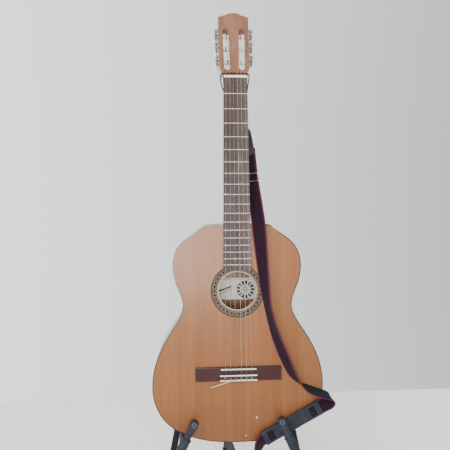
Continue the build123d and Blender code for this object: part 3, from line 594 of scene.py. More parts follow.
def nurbs_line(places, resolution=14):
    """Points along the smooth curve that a route's places control."""
    curve = bpy.data.curves.new("route", "CURVE")
    curve.dimensions = "3D"
    curve.resolution_u = resolution
    spline = curve.splines.new("NURBS")
    spline.points.add(len(places) - 1)
    for point, place in zip(spline.points, places):
        point.co = (*place, 1)
    spline.order_u = 3
    spline.use_endpoint_u = True
    spline.resolution_u = resolution
    holder = bpy.data.objects.new("route", curve)
    bpy.context.scene.collection.objects.link(holder)
    mesh = bpy.data.meshes.new_from_object(holder)
    points = [v.co.copy() for v in mesh.vertices]
    bpy.data.objects.remove(holder)
    bpy.data.curves.remove(curve)
    bpy.data.meshes.remove(mesh)
    return points


def lengths(points):
    """How far along the line each of its points lies."""
    total, out = 0.0, [0.0]
    for a, b in zip(points, points[1:]):
        total += (b - a).length
        out.append(total)
    return out


def tangent(points, k):
    return (points[min(k + 1, len(points) - 1)] - points[max(k - 1, 0)]).normalized()


def frames_along(points):
    """A pair of cross directions at each point, carried along without twisting."""
    out, side = [], None
    for k in range(len(points)):
        along = tangent(points, k)
        if side is None:
            side = along.orthogonal().normalized()
        side = (side - along * side.dot(along)).normalized()
        out.append((side.copy(), along.cross(side)))
    return out


def ring_of(mid, a, b, radius, count):
    """A ring of points round a place; the radius is a number or a function of the turn."""
    turns = [2 * math.pi * j / count for j in range(count)]
    return [mid + (a * math.cos(turn) + b * math.sin(turn)) * (radius(turn) if callable(radius) else radius)
            for turn in turns]


def skin_rings(rings):
    """Faces over a row of equal rings, closed at both ends."""
    count = len(rings[0])
    verts = [v for ring in rings for v in ring]
    faces = []
    for k in range(len(rings) - 1):
        for j in range(count):
            n = (j + 1) % count
            faces.append((k * count + j, k * count + n, (k + 1) * count + n, (k + 1) * count + j))
    faces.append(tuple(range(count)))
    faces.append(tuple(range((len(rings) - 1) * count, len(rings) * count)))
    return verts, faces


def add_skin(name, rings, body, material, uvs=None, sharp=None):
    """A piece from a row of equal rings; edges past a sharp angle stay sharp in the shading."""
    verts, faces = skin_rings(rings)
    piece = add_mesh(name, verts, faces, body, [material], uvs=uvs)
    if sharp:
        crease(piece, sharp)
    return piece


def add_tube(name, points, radius, body, material, sides=12, shape=None):
    """A round piece along a line; shape scales its radius by the way along it and the turn."""
    dist = lengths(points)
    rings, uvs = [], []
    for k, (a, b) in enumerate(frames_along(points)):
        def swell(turn, far=dist[k]):
            return radius * (shape(far, turn) if shape else 1.0)
        rings.append(ring_of(points[k], a, b, swell, sides))
        uvs += [(dist[k], 2 * math.pi * j / sides * radius) for j in range(sides)]
    return add_skin(name, rings, body, material, uvs)


def lathe(name, origin, axis, profile, body, material, sides=32, sharp=None):
    """A turned piece: profile rows are (distance along the axis, radius), in millimetres."""
    axis = axis.normalized()
    side = axis.orthogonal().normalized()
    other = axis.cross(side)
    rings = [ring_of(origin + axis * far * MM, side, other, max(r, 0.02) * MM, sides) for far, r in profile]
    return add_skin(name, rings, body, material, sharp=sharp)


def crease(piece, angle):
    """Sharp edges stay sharp in the shading."""
    mesh = piece.data
    sharp = bmesh.new()
    sharp.from_mesh(mesh)
    for edge in sharp.edges:
        if len(edge.link_faces) == 2 and edge.calc_face_angle(0) > math.radians(angle):
            edge.smooth = False
    sharp.to_mesh(mesh)
    sharp.free()


def paint_node(name, material):
    node = NODES[name]
    node.data.materials.clear()
    node.data.materials.append(material)


# ------------------------------------------------------------------ strap
def band_lines(stations, wide):
    """The middle line of a band, and the direction of its width at each point."""
    mids = [spot(*row[:3]) for row in stations]
    edges = [mid + way(*row[3:]) * wide / 2 * MM for mid, row in zip(mids, stations)]
    middle, edge = nurbs_line(mids), nurbs_line(edges)
    across = []
    for k, (mid, side) in enumerate(zip(middle, edge)):
        along, width = tangent(middle, k), side - mid
        across.append((width - along * width.dot(along)).normalized())
    return middle, across


def band_section(wide, thick, edge_wide):
    """The outline of a band across its width: (across, height, which material)."""
    half, t = wide / 2, thick / 2
    steps = [-1, -0.8, -0.6, -0.4, -0.2, 0, 0.2, 0.4, 0.6, 0.8, 1]
    inner = half - edge_wide
    front = [(-half, t * 0.3, 1), (-half + 0.5, t * 0.95, 1), (-inner - 0.1, t, 1)]
    front += [(inner * s, t * (0.86 + 0.06 * math.cos(3 * s)), 0) for s in steps]
    front += [(inner + 0.1, t, 1), (half - 0.5, t * 0.95, 1), (half, t * 0.3, 1)]
    back = [(half - 0.3, -t * 0.8, 2)] + [(inner * -s, -t, 2) for s in steps] + [(-half + 0.3, -t * 0.8, 2)]
    return front + back


def add_band(name, stations, wide, thick, body, materials, edge_wide=2.0, taper=None):
    middle, across = band_lines(stations, wide)
    dist = lengths(middle)
    section = band_section(wide, thick, edge_wide)
    rings, uvs = [], []
    for k, (mid, width) in enumerate(zip(middle, across)):
        normal = tangent(middle, k).cross(width)
        grow = taper(dist[k], dist[-1]) if taper else 1.0
        rings.append([mid + width * a * grow * MM + normal * h * FACE_SIDE * MM for a, h, _ in section])
        uvs += [(dist[k], a * MM) for a, _, _ in section]
    verts, faces = skin_rings(rings)
    count = len(section)
    picks = [section[(f % count)][2] for f in range(len(faces) - 2)] + [2, 2]
    piece = add_mesh(name, verts, faces, body, materials, picks, uvs)
    return piece, middle, dist[-1]


def build_strap(m):
    """The woven strap, its leather ends, the ridged pad, the slide and the braided lace."""
    strap, middle, long = add_band("strap_webbing", STRAP_ROUTE, STRAP_WIDE, STRAP_THICK, "guitar",
                                   [m["wine"], m["crimson"], m["strap_back"]], edge_wide=3.2)
    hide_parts("strap")
    for number, (stations, wide) in enumerate(((TOP_LEATHER, 27), (END_LEATHER, 30))):
        def taper(at, total, number=number):
            left = at if number == 0 else total - at
            return 1.0 if left > 0.014 else 0.42 + 0.58 * math.sin(math.pi / 2 * max(left, 0) / 0.014)
        end, _, _ = add_band("strap_leather_" + str(number + 1), stations, wide, 4.0, "guitar",
                                [m["leather"], m["leather_edge"], m["leather_edge"]], 1.2, taper)
        add_stitches("leather_stitches_" + str(number + 1), stations, wide, m)
    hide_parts("strap_leathers")
    build_pad(m)
    pad_bars(m)
    build_slide(m)
    build_lace(m)
    pin = lathe("end_pin_button", spot(0, 14, PIN_W), way(0, -1, 0), [
        (0.2, 0), (0.2, 3.0), (14, 3.1), (19.8, 3.1), (20.2, 4.6), (20.8, 6.1), (21.6, 6.5), (22.8, 6.4),
        (23.8, 5.4), (24.3, 3.6), (24.4, 0)], "guitar", m["gloss_black"])
    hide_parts("end_pin")


def add_stitches(name, stations, wide, m):
    """Two rows of short stitches along a leather end, on both of its faces."""
    middle, across = band_lines(stations, wide)
    dist = lengths(middle)
    verts, faces = [], []
    pitch, next_at = 0.0032, 0.016
    for k in range(1, len(middle) - 1):
        while next_at < dist[-1] - 0.016 and dist[k] >= next_at:
            along = (middle[k + 1] - middle[k - 1]).normalized()
            normal = along.cross(across[k])
            for side in (-1, 1):
                for face in (-1, 1):
                    mid = middle[k] + across[k] * side * (wide / 2 - 3.2) * MM + normal * face * 2.05 * MM
                    base = len(verts)
                    for t in (-1, -0.5, 0.5, 1):
                        rise = 0.3 * (1 - t * t)
                        for a, h in ((-0.35, 0), (0, 0.35 + rise), (0.35, 0)):
                            verts.append(mid + along * t * 1.0 * MM + across[k] * a * MM
                                         + normal * face * h * MM)
                    for row in range(3):
                        for col in range(2):
                            a = base + row * 3 + col
                            faces.append((a, a + 1, a + 4, a + 3))
            next_at += pitch
    add_mesh(name, verts, faces, "guitar", [m["thread"]])


def pad_height(s, t):
    """How thick the shoulder pad is, and whether it is there at all: s along it, t across, in mm."""
    half, wide = PAD_LONG / 2, PAD_WIDE / 2
    for middle in PAD_WINDOWS:
        if abs(s - middle) < PAD_WINDOW[0] / 2 and abs(t) < PAD_WINDOW[1] / 2:
            return None
    edge = min(half - abs(s), wide - abs(t))
    round_edge = math.sqrt(max(0.0, 1 - max(0.0, 1 - edge / 2.5) ** 2))
    near_window = min(abs(abs(s - middle) - PAD_WINDOW[0] / 2) for middle in PAD_WINDOWS)
    ribbed = abs(t) > PAD_WINDOW[1] / 2 + 1.0 or near_window > 3.0
    rib = 0.55 * (0.5 + 0.5 * math.cos(2 * math.pi * s / 4.2)) if ribbed and edge > 2.0 else 0.35
    groove = -0.7 if abs(abs(t) - (wide - 3.2)) < 0.7 and edge > 1.5 else 0.0
    return (PAD_THICK / 2 - 1.0) * (0.55 + 0.45 * round_edge) + rib + groove


def pad_axes():
    """The middle of the pad, and the directions along and across it and out of it."""
    start, end = (Vector(place) for place in PAD_ENDS)
    across = Vector((.46, -.89, 0)).normalized()
    return (start + end) / 2, (end - start).normalized(), across, Vector((0, 0, 1))


def build_pad(m):
    """A moulded pad with ribs and two windows."""
    middle, along, across, out = pad_axes()
    nx, nt = 176, 44

    def there(i, j):
        s = -PAD_LONG / 2 + PAD_LONG * (i + 0.5) / nx
        t = -PAD_WIDE / 2 + PAD_WIDE * (j + 0.5) / nt
        ds, dt = PAD_LONG / 2 - abs(s), PAD_WIDE / 2 - abs(t)
        if max(ds, dt) < PAD_CORNER and math.hypot(PAD_CORNER - ds, PAD_CORNER - dt) > PAD_CORNER:
            return False
        return pad_height(s, t) is not None

    verts, faces, index = [], [], {}

    def point(i, j, face):
        key = (i, j, face)
        if key not in index:
            s = -PAD_LONG / 2 + PAD_LONG * i / nx
            t = -PAD_WIDE / 2 + PAD_WIDE * j / nt
            high = pad_height(s, t) or PAD_THICK / 2 - 1.2
            waist = 1.0 - 0.05 * math.cos(math.pi * s / PAD_LONG)
            place = middle + along * s + across * t * waist + out * high * face
            index[key] = len(verts)
            verts.append(spot(*place))
        return index[key]

    for i in range(nx):
        for j in range(nt):
            if not there(i, j):
                continue
            for face in (-1, 1):
                faces.append(tuple(point(i + a, j + b, face) for a, b in ((0, 0), (1, 0), (1, 1), (0, 1))))
            for (di, dj), edge in (((-1, 0), ((i, j), (i, j + 1))), ((1, 0), ((i + 1, j), (i + 1, j + 1))),
                                   ((0, -1), ((i, j), (i + 1, j))), ((0, 1), ((i, j + 1), (i + 1, j + 1)))):
                ni, nj = i + di, j + dj
                if not (0 <= ni < nx and 0 <= nj < nt) or not there(ni, nj):
                    (a, b), (c, d) = edge
                    faces.append((point(a, b, -1), point(c, d, -1), point(c, d, 1), point(a, b, 1)))
    pad = add_mesh("strap_pad", verts, faces, "guitar", [m["pad"]])
    crease(pad, 50)
    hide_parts("shoulder_pad")


def pad_bars(m):
    """Dark cross bars in the windows of the pad, over the strap."""
    middle, along, across, out = pad_axes()
    for number, window in enumerate(PAD_WINDOWS):
        for bar, shift in enumerate((-2.4, 2.4)):
            line = [spot(*(middle + along * (window + shift) + across * t + out * 1.9))
                    for t in (-12, -11.5, -8, -4, 0, 4, 8, 11.5, 12)]
            add_tube("pad_bar_" + str(2 * number + bar + 1), line, 0.95 * MM, "guitar",
                     m["pad"], 10)


def build_slide(m):
    """The wire slide: one rounded wire frame."""
    ends = []
    for x, w, u in ((36.9, -17.0, 598), (39.0, -15.2, 580)):
        mid = Vector((x, u, w)) + Vector((-.65, 0, .76)) * 2.6
        half = Vector((.76, 0, .65)) * (STRAP_WIDE / 2 + 2.5)
        ends.append((mid - half, mid + half))
    (a, b), (c, d) = ends
    loop = []
    corners = [a, b, d, c]
    for k in range(4):
        before, here, after = corners[k - 1], corners[k], corners[(k + 1) % 4]
        first = here + (before - here).normalized() * 3.0
        last = here + (after - here).normalized() * 3.0
        for step in range(7):
            t = step / 6
            loop.append((first * (1 - t) ** 2 + here * 2 * t * (1 - t) + last * t ** 2))
    loop.append(loop[0])
    points = [spot(*p) for p in loop]
    wire = add_tube("slide_frame", points, 1.2 * MM, "guitar", m["wire"], 14)
    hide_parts("strap_slide")


def build_lace(m):
    """The braided lace from the strap's leather end round the base of the head, with its knot."""
    line = nurbs_line([spot(*place) for place in LACE_ROUTE], 18)

    def braid(at, turn):
        return 0.90 + 0.10 * math.cos(3 * turn - at * 2 * math.pi / 0.009)
    lace = add_tube("strap_lace_braid", line, LACE_R * MM, "guitar", m["lace"], 15, braid)
    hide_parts("strap_lace")
    knot_at = Vector(LACE_ROUTE[2])
    rings = []
    for k in range(61):
        t = 2 * math.pi * k / 60
        swell = 2.0 + 0.9 * math.cos(3 * t)
        rings.append(spot(knot_at.x + swell * math.cos(2 * t), knot_at.y + swell * 1.2 * math.sin(2 * t),
                          knot_at.z + 1.4 * math.sin(3 * t)))
    knot = add_tube("strap_lace_knot", rings, 1.35 * MM, "guitar", m["lace"], 12, braid)
    lengths(line)[-1]


# ------------------------------------------------------------------ strings
def bank(number):
    """The side of the head that a string's roller is on, and its row from the nut."""
    return (-1, number) if number < 3 else (1, 5 - number)


def string_points(number):
    """A string from its hole in the tie block, over saddle and nut, to its roller."""
    r = STRING_R[number]
    side, row = bank(number)
    at_saddle, at_nut = string_x(number, SADDLE_U), string_x(number, NUT_U)
    hole = spot(at_saddle, 149.4, 4.0 + r)
    over_saddle = [spot(at_saddle, SADDLE_U + du, SADDLE_TOP_W + r - drop)
                   for du, drop in ((-1.3, 0.55), (-0.6, 0.14), (0, 0), (1.2, 0.0))]
    over_nut = [spot(at_nut, NUT_U + du, NUT_TOP_W + r - drop)
                for du, drop in ((0.0, 0.0), (2.4, 0.0), (3.8, 0.2), (5.0, 0.9))]
    lift = ROLLER_R + r + 0.15
    onto = head_spot(side, SLOT_P, ROLLER_N + lift, ROLLER_S[row])
    before = over_nut[-1].lerp(onto, 0.5)
    return [hole, *over_saddle, *over_nut, before, onto]


def build_strings(m):
    for number in range(6):
        r = STRING_R[number]
        wound = number < 3
        material = m["wound"] if wound else m["nylon"]
        string = add_tube("string_" + str(number + 1), string_points(number), r * MM, "guitar",
                          material)
        if number == 0:
            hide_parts("bass_strings")
        if number == 3:
            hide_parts("treble_strings")
        x = string_x(number, SADDLE_U)
        lean = 1 if number < 3 else -1
        tie = [(x, 148.8, 4.0), (x, 136.4, 4.0), (x + 0.3, 134.6, 5.2), (x + 0.6, 134.9, 8.2),
               (x + 0.8, 137.2, 9.8),
               (x + 0.9, 143, 9.9), (x + 0.8, 148.6, 9.9), (x + 0.2, 150.9, 8.4), (x - 1.2, 150.6, 7.6),
               (x - 1.9, 148.8, 9.7), (x - 2.1, 145.2, 10.0), (x - 0.6, 142.4, 10.9), (x + 1.9, 140.6, 10.6),
               (x + 2.3, 138.4, 9.9), (x + 0.9, 136.7, 10.4), (x - 1.3, 136.9, 10.9), (x - 3.2, 138.6, 10.2),
               (x - 4.4, 140.4, 9.8)]
        tie = [(x + (a - x) * lean, u, w) for a, u, w in tie]
        loop = nurbs_line([spot(*place) for place in tie], 8)
        add_tube("string_tie_" + str(number + 1), loop, r * 0.94 * MM, "guitar", material, 10)
        side, row = bank(number)
        roller = row + 1 if number < 3 else row + 4
        turns, count = 3.2, 96
        coil = []
        for k in range(count + 1):
            t = k / count
            angle = math.pi / 2 - 2 * math.pi * turns * t
            lift = ROLLER_R + r * 0.9
            coil.append(head_spot(side, SLOT_P - 0.5 + t * turns * 2 * r * 1.02 * (1 if row % 2 else -1),
                                  ROLLER_N + lift * math.sin(angle), ROLLER_S[row] + lift * math.cos(angle)))
        add_tube("string_winding_" + str(number + 1), coil, r * 0.96 * MM, "roller_" + str(roller),
                 material, 8)
    line = nurbs_line([spot(*place) for place in TAIL_ROUTE], 40)
    dist = lengths(line)
    sides = frames_along(line)
    strands = []
    for turn in (0, math.pi):
        strands.append([p + (a * math.cos(turn + d * 2 * math.pi / 0.0085)
                             + b * math.sin(turn + d * 2 * math.pi / 0.0085)) * 0.58 * MM
                        for p, (a, b), d in zip(line, sides, dist)])
    tails = [add_tube("string_tail_" + str(k + 1), strand, 0.5 * MM, "guitar", m["tail"], 8)
             for k, strand in enumerate(strands)]
    both = tails[0]
    merge(both, tails[1])
    both.name = "string_tails_twisted"
    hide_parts("string_tails")


def merge(piece, other):
    """Puts the mesh of one piece into another's."""
    both = bmesh.new()
    both.from_mesh(piece.data)
    both.from_mesh(other.data)
    both.to_mesh(piece.data)
    both.free()
    bpy.data.objects.remove(other)


# ------------------------------------------------------------------ tuning machines
def build_tuners(m):
    for number in range(6):
        side = -1 if number < 3 else 1
        s = ROLLER_S[number % 3]
        roller, peg = "roller_" + str(number + 1), "peg_" + str(number + 1)
        base = head_spot(side, 0, ROLLER_N, s)
        out = (head_spot(side, 1, ROLLER_N, s) - base).normalized()
        face = (head_spot(side, 0, ROLLER_N + 1, s) - base).normalized()
        up = (head_spot(side, 0, ROLLER_N, s + 1) - base).normalized()
        half = SLOT_WIDE / 2 - 0.4
        flange = [(half, CORE_R), (half, 4.3), (half - 0.5, ROLLER_R), (half - 1.3, ROLLER_R),
                  (half - 1.9, 4.55)]
        profile = [(SLOT_P - far, r) for far, r in flange] + [(SLOT_P, 4.5)]
        profile += [(SLOT_P + far, r) for far, r in reversed(flange)]
        spool = lathe("spool_" + str(number + 1), base, out, profile, roller, m["spool"], sharp=35)
        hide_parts(roller)
        lathe("roller_core_" + str(number + 1), base, out, [
            (SLOT_P - 11.4, 0), (SLOT_P - 11.4, 1.9), (SLOT_P - 11.0, CORE_R), (3.4, CORE_R),
            (3.4, CORE_R - 0.6), (8.4, CORE_R - 0.6)], roller, m["steel"], sharp=35)
        gear_piece("gear_" + str(number + 1), base, out, face, up, roller, m)
        screw_piece("gear_screw_" + str(number + 1), base + out * GEAR_P[1] * MM, out, face, 2.7, 1.5,
                    roller, m)
        worm_axis = head_spot(side, WORM_P, 0, s + WORM_RISE)
        down = (head_spot(side, WORM_P, -1, s + WORM_RISE) - worm_axis).normalized()
        shaft = lathe("peg_shaft_" + str(number + 1), worm_axis, down, [
            (0.5, 0), (0.5, 1.6), (0.8, 1.95), (2.9, 1.95), (3.1, 1.5), (17.0, 1.5), (17.2, 1.95),
            (20.4, 1.95),
            (20.5, 2.8), (20.8, 3.0), (22.2, 3.0), (22.5, 2.8), (22.6, 1.95), (34.5, 1.95), (35, 1.5)],
            peg, m["steel"], 24, 35)
        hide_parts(peg)
        worm_thread("worm_" + str(number + 1), worm_axis, down, out, peg, m)
        button_piece("button_" + str(number + 1), side, s, BUTTON_TURN[number], peg, m)


def gear_piece(name, base, out, face, up, body, m):
    """A small toothed wheel with a dished face."""
    teeth, sides = 14, 112
    near, far_face = GEAR_P
    rows = [(near, 0.60), (near, 0.88), (near + 0.25, 1.0), (far_face - 0.5, 1.0), (far_face - 0.15, 0.90),
            (far_face - 0.15, 0.74), (far_face - 0.7, 0.70), (far_face - 0.7, 0.45), (far_face - 0.1, 0.40),
            (far_face - 0.1, 0.22)]
    rings = []
    for far, scale in rows:
        def toothed(turn, scale=scale):
            cut = 0.085 * (1 - max(-1, min(1, math.cos(teeth * turn) * 1.9))) if scale > 0.85 else 0.0
            return GEAR_R * scale * (1.0 - cut) * MM
        rings.append(ring_of(base + out * far * MM, face, up, toothed, sides))
    add_skin(name, rings, body, m["gear"], sharp=30)
    lathe(name + "_hub", base, out, [(1.5, 3.5), (near + 0.1, 3.5)], body, m["steel"], 24, 35)


def screw_piece(name, origin, out, side, radius, high, body, m, metal=None):
    """A domed screw head with a straight slot."""
    other = out.cross(side).normalized()
    depth, slot_half = 0.5 * high, radius * 0.16
    rings = []
    dome = ((1.0, 0.0), (1.0, 0.35), (0.93, 0.62), (0.75, 0.85), (0.5, 0.96), (0.25, 1.0), (0.02, 1.0))
    for share, lift in dome:
        ring = []
        for j in range(48):
            angle = 2 * math.pi * j / 48
            a, b = radius * share * math.cos(angle), radius * share * math.sin(angle)
            dip = depth if abs(b) < slot_half and lift > 0.3 else 0.0
            ring.append(origin + (side * a + other * b + out * (high * lift - dip)) * MM)
        rings.append(ring)
    return add_skin(name, rings, body, metal or m["bright"], sharp=40)


def worm_thread(name, axis_at, down, side, body, m):
    """The worm's helical thread, between the tabs of the plate."""
    other = down.cross(side).normalized()
    start, end, pitch = 3.4, 16.6, 1.55
    count = int((end - start) / pitch * 20)
    rings = []
    for k in range(count + 1):
        far = start + (end - start) * k / count
        angle = 2 * math.pi * (far - start) / pitch
        radial = side * math.cos(angle) + other * math.sin(angle)
        fade = min(1.0, 0.2 + 3 * min(k, count - k) / 20)
        rings.append([axis_at + (down * (far + a) + radial * (1.5 + h * fade)) * MM
                      for a, h in ((-0.52, -0.2), (-0.16, 0.48), (0.16, 0.48), (0.52, -0.2))])
    add_skin(name, rings, body, m["bright"])


def button_piece(name, side, s, turn, body, m):
    """A pearl button: waisted at its neck, with two flat wings and rounded edges."""
    angle = math.radians(turn)
    rings = []
    rows = [(28.0, 3.3, 3.3), (29.0, 3.4, 3.4), (31.5, 3.3, 3.3), (33.0, 4.1, 3.4), (34.6, 6.2, 3.9),
            (36.6, 7.5, 4.25), (39.5, 8.0, 4.3), (43.5, 7.9, 4.2), (47.0, 7.3, 4.0), (49.3, 6.2, 3.5),
            (50.5, 4.6, 2.7), (51.0, 2.2, 1.4)]
    for n, wide, thin in rows:
        ring = []
        for j in range(36):
            a = 2 * math.pi * j / 36
            x, y = wide * math.cos(a), thin * math.sin(a)
            p = WORM_P + x * math.cos(angle) - y * math.sin(angle)
            q = s + WORM_RISE - x * math.sin(angle) - y * math.cos(angle)
            ring.append(head_spot(side, p, -n, q))
        rings.append(ring)
    add_skin(name, rings, body, m["pearl"])


def build_plate_screws(m):
    first = None
    for side in (-1, 1):
        first_s, second_s, third_s = ROLLER_S
        for number, s in enumerate((first_s - 12, first_s + 23.5, second_s + 23.5, third_s + 15.5)):
            base = head_spot(side, 1.2, ROLLER_N, s)
            out = (head_spot(side, 2.2, ROLLER_N, s) - base).normalized()
            face = (head_spot(side, 1.2, ROLLER_N + 1, s) - base).normalized()
            turned = Matrix.Rotation(0.7 + number * 0.9, 3, out) @ face
            piece = screw_piece("plate_screw_" + str(number + 1) + ("_left" if side < 0 else "_right"),
                                base, out, turned, 2.6, 1.4, "guitar", m)
            first = first or piece
    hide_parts("plate_screws")


# ------------------------------------------------------------------ the stand
def post_section(far, reach):
    """Half sizes of an arm's rubber, far along its post from the axle: across, and front to back."""
    if far > reach:
        share = min(1.0, (far - reach) / PADDLE_R)
        return PADDLE_R * math.sqrt(max(0.002, 1 - share * share)), PADDLE_THICK / 2 * (1 - share ** 6 * 0.9)
    if far < -POST_BELOW + 6:
        share = (-POST_BELOW + 6 - far) / 6
        edge = 10.5 * math.sqrt(max(0.01, 1 - share * share * 0.96))
        return edge, edge
    rim = 0.9 * math.exp(-((far - 12.6) / 1.5) ** 2)
    if far < SLEEVE_ABOVE:
        return POST_R + rim, POST_R + rim
    share = min(1.0, (far - SLEEVE_ABOVE) / 2.5)
    neck = POST_R + rim - (POST_R + rim - NECK_R) * share * share * (3 - 2 * share)
    grow = min(1.0, max(0.0, (far - 22) / (reach - 22)))
    grow = grow * grow * (3 - 2 * grow)
    return neck + (PADDLE_R - NECK_R) * grow, neck


def post_ring(mid, across, deep, a, b, power, count=44):
    ring = []
    for j in range(count):
        turn = 2 * math.pi * j / count
        c, s = math.cos(turn), math.sin(turn)
        x = math.copysign(abs(c) ** (2 / power), c)
        y = math.copysign(abs(s) ** (2 / power), s)
        ring.append(mid + (across * x * a + deep * y * b) * MM)
    return ring


def build_arms(m):
    """The moulded rubber of the support arms: post with paddle and rim, and the sleeve on the axle."""
    for side, name, x, u, lean, reach in ARMS:
        body = name + "_arm"
        angle = math.radians(lean)
        middle = spot(side * x, u, POST_W)
        up = way(-side * math.sin(angle), math.cos(angle), 0)
        front = way(0, 0, 1)
        across = up.cross(front).normalized()
        rings = []
        for k in range(121):
            far = -POST_BELOW + (reach + PADDLE_R + POST_BELOW) * k / 120
            a, b = post_section(far, reach)
            power = 2.0 + 1.8 * max(0.0, min(1.0, (far - 20) / 22))
            rings.append(post_ring(middle + up * far * MM, across, front, a, b, power))
        rubber = add_skin("arm_rubber_" + name + "_post", rings, body, m["arm_rubber"],
                          sharp=55)
        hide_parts("arm_rubber_" + name)
        lathe("arm_rubber_" + name + "_sleeve", spot(side * x, u, -98), front, [
            (0, 5.6), (0, 9.2), (0.8, COVER_R), (4.0, COVER_R), (4.8, 9.4), (6.2, 9.4), (7.0, COVER_R),
            (110, COVER_R), (122, COVER_R), (124, 6)], body, m["arm_rubber"], 40, 50)
        tip = middle + up * reach * MM + front * (PADDLE_THICK / 2 - 0.2) * MM
        # the raised ring on the paddle tip gets a much lighter rubber colour, which is a painted highlight
        lathe("paddle_ring_" + name, tip, front, [
            (-0.3, 3.0), (-0.3, 4.9), (0.15, 4.9), (0.4, 4.6), (0.4, 3.6), (0.0, 3.2)],
            body, m["arm_rubber_edge"], 40, 35)
        screw_piece("paddle_screw_" + name, tip - front * 0.7 * MM, front, way(1, 0.4, 0), 2.4, 1.0, body, m,
                    m["dull_screw"])


def boot(name, start, along, body, m):
    """A rubber boot with ribs round it and a worn, flattened sole."""
    rings, side = [], along.orthogonal().normalized()
    other = along.cross(side)
    steps = 72
    for k in range(steps + 1):
        far = -FOOT_BELOW + (FOOT_LONG + FOOT_BELOW) * k / steps
        grow = 1.0
        if far > 8:
            grow = 0.97 - 0.05 * max(0.0, math.cos(2 * math.pi * (far - 8) / 6.3))
        if k == steps:
            grow = 0.86
        ring = ring_of(start + along * far * MM, side, other, FOOT_R * grow * MM, 44)
        rings.append([place + along * max(0.0, FLOOR_GAP - place.z) / max(along.z, 0.05) for place in ring])
    return add_skin(name, rings, body, m["foot_rubber"], sharp=50)


def build_stand(m):
    base = -(GUITAR_Z + LEG_W * math.sin(LEAN)) / math.cos(LEAN)
    for side in (-1, 1):
        low, high = (spot(side * (LEG_X + (ARM_U - u) * LEG_SLOPE), u, LEG_W) for u in (base, base + 100))
        boot("front_foot_" + ("left" if side < 0 else "right"), low, (high - low).normalized(),
                         "stand_frame", m)
    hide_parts("front_feet")
    pivot = spot(0, HUB_AXIS_U, HUB_AXIS_W)
    swing = REAR_SPREAD - LEAN
    down = Vector((0, math.sin(swing), -math.cos(swing)))
    floor_point = pivot + down * (pivot.z / math.cos(swing))
    rear = boot("rear_foot_rubber", floor_point, -down, "rear_leg", m)
    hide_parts("rear_foot")
    build_back_pad(m)
    for side, name, x, u, _, _ in ARMS:
        for number, (dx, du) in enumerate(((20, 10), (20, -10))):
            screw_piece("bracket_screw_" + name + "_" + str(number + 1),
                        spot(side * (x + dx), u + du, LEG_W + 10.9), way(0, 0, 1),
                        way(1, 0.3 + number, 0), 3.4, 1.6, "stand_frame", m, m["dull_screw"])
    for side in (-1, 1):
        origin = spot(side * 36, HUB_AXIS_U, HUB_AXIS_W)
        screw_piece("hub_bolt_end_" + ("left" if side < 0 else "right"), origin, way(side, 0, 0),
                    way(0, 1, 0.4), 6.6, 1.8, "stand_frame", m)


def build_back_pad(m):
    """The foam bar that the back of the guitar rests on: crowned, with soft edges."""
    rings = []
    for k in range(61):
        x = -70 + 140 * k / 60
        edge = min(1.0, (70 - abs(x)) / 9)
        grow = max(0.12, math.sqrt(max(0.0, 1 - (1 - edge) ** 2)))
        high = 14 * (0.35 + 0.65 * grow) - 0.3 * math.cos(x / 9)
        ring = []
        for j in range(32):
            turn = 2 * math.pi * j / 32
            c, s = math.cos(turn), math.sin(turn)
            du = math.copysign(abs(c) ** 0.5, c) * high
            dw = math.copysign(abs(s) ** 0.5, s) * 2.7 * (0.3 + 0.7 * grow)
            ring.append(spot(x, 405 + du, -98.2 + dw))
        rings.append(ring)
    pad = add_skin("back_foam", rings, "stand_frame", m["foam"])
    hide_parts("back_pad")


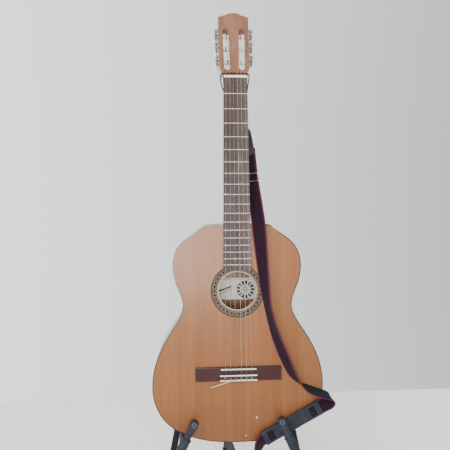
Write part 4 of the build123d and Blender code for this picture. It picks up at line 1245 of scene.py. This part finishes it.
# ------------------------------------------------------------------ everything
def make_materials():
    m = {}
    m["wine"] = webbing_paint("strap_wine", (0.007, 0.0015, 0.006), (0.020, 0.005, 0.0145))
    m["crimson"] = webbing_paint("strap_crimson", (0.045, 0.008, 0.018), (0.115, 0.024, 0.046))
    m["strap_back"] = webbing_paint("strap_back", (0.003, 0.004, 0.009), (0.010, 0.012, 0.022))
    m["leather"] = leather_paint("strap_leather", (0.012, 0.011, 0.013))
    m["leather_edge"] = leather_paint("strap_leather_edge", (0.020, 0.014, 0.012))
    m["thread"] = webbing_paint("stitch_thread", (0.02, 0.02, 0.025), (0.06, 0.06, 0.07), 0.3)
    m["lace"] = webbing_paint("braided_lace", (0.010, 0.010, 0.012), (0.035, 0.034, 0.040), 0.6)
    m["pad"] = rubber_paint("pad_moulding", (0.010, 0.012, 0.018), 0.55)
    m["wire"] = worn_metal("slide_plating", (0.72, 0.72, 0.74), 0.18, (0.40, 0.38, 0.36), 0.4)
    m["gloss_black"] = smooth_plastic("pin_plastic", (0.02, 0.02, 0.022), 0.22)
    m["black_plastic"] = smooth_plastic("stand_plastic", (0.022, 0.023, 0.027), 0.42)
    m["wound"] = wound_paint()
    m["nylon"] = nylon_paint()
    m["tail"] = nylon_paint("string_tail_ends", 0.2, (0.66, 0.60, 0.50), (0.82, 0.78, 0.70))
    m["spool"] = smooth_plastic("spool_plastic", (0.80, 0.80, 0.77), 0.3)
    m["steel"] = worn_metal("tuner_steel", (0.42, 0.41, 0.39), 0.34)
    m["gear"] = worn_metal("gear_metal", (0.26, 0.25, 0.24), 0.36, (0.09, 0.085, 0.08))
    m["bright"] = worn_metal("bright_screw", (0.72, 0.71, 0.68), 0.24, (0.36, 0.34, 0.31), 0.4)
    m["dull_screw"] = worn_metal("dark_screw", (0.09, 0.09, 0.10), 0.5, (0.035, 0.035, 0.04), 0.4)
    m["pearl"] = pearl_paint()
    m["arm_rubber"] = rubber_paint("arm_rubber_blue", (0.012, 0.0145, 0.022))
    # lighter rubber for the paddle ring: a painted highlight
    m["arm_rubber_edge"] = rubber_paint("arm_rubber_painted_highlight", (0.06, 0.066, 0.078), 0.45)
    m["foot_rubber"] = rubber_paint("foot_rubber_black", (0.012, 0.012, 0.014))
    m["foam"] = rubber_paint("foam_black", (0.016, 0.016, 0.020), 0.85)
    return m


# nodes, name, dark, middle and light tones, and how the wood is cut and finished
WOODS = (
    (("rib_left", "rib_right"), "mahogany_ribs", (0.085, 0.026, 0.013), (0.15, 0.055, 0.028),
     (0.22, 0.092, 0.05), {"fine": 380, "rough": 0.30, "coat": 0.4, "streak": 0.6}),
    (("linings", "tail_block", "head_block", "soundboard_braces", "back_braces"), "inner_spruce",
     (0.34, 0.21, 0.11), (0.46, 0.31, 0.17), (0.58, 0.42, 0.26),
     {"fine": 500, "rough": 0.7, "coat": 0.0, "streak": 0.4}),
    (("neck",), "neck_mahogany", (0.15, 0.055, 0.027), (0.22, 0.094, 0.05), (0.29, 0.14, 0.08),
     {"fine": 480, "rough": 0.36, "coat": 0.25, "streak": 0.55}),
    (("head_veneer",), "head_veneer_wood", (0.15, 0.056, 0.028), (0.215, 0.096, 0.055), (0.30, 0.16, 0.105),
     {"fine": 520, "rough": 0.34, "coat": 0.35, "streak": 0.6}),
    (("heel_cap", "bridge"), "rosewood_dark", (0.016, 0.004, 0.0035), (0.036, 0.0095, 0.0085),
     (0.075, 0.024, 0.020), {"along": "x", "fine": 500, "rough": 0.33, "coat": 0.25, "streak": 0.6}))


def paint_cad(m):
    """Materials for the nodes whose shapes stay as they were made."""
    paint_node("soundboard", soundboard_paint())
    paint_node("rosette", rosette_paint())
    paint_node("label", label_paint())
    paint_node("back_plate", back_paint())
    for names, wood, dark, mid, light, settings in WOODS:
        material = grain_wood(wood, dark, mid, light, **settings)[0].material
        for name in names:
            paint_node(name, material)
    edge = smooth_plastic("binding_black", (0.014, 0.012, 0.012), 0.25)
    for name in ("top_binding", "back_binding"):
        paint_node(name, edge)
    paint_node("fingerboard", fingerboard_paint())
    paint_node("frets", worn_metal("fret_silver", (0.56, 0.52, 0.50), 0.30, (0.34, 0.31, 0.29), 0.45))
    paint_node("nut", bone_paint("nut_bone", (0.96, 0.95, 0.92)))
    paint_node("saddle", bone_paint("saddle_bone", (0.84, 0.82, 0.75)))
    paint_node("tie_block_trims", bone_paint("tie_bone", (0.84, 0.82, 0.75)))
    for name in ("tuner_plate_left", "tuner_plate_right"):
        paint_node(name, m["steel"])
    for name in ("hub", "arm_bracket_left", "arm_bracket_right"):
        paint_node(name, m["black_plastic"])
    tube = powder_coat()
    for name in ("front_leg_left", "front_leg_right", "rear_leg", "arm_left", "arm_right"):
        paint_node(name, tube)
    paint_node("hub_bolt", m["bright"])

make_camera()
make_stage()
materials = make_materials()
build_strap(materials)
build_strings(materials)
build_tuners(materials)
build_plate_screws(materials)
build_arms(materials)
build_stand(materials)
paint_cad(materials)
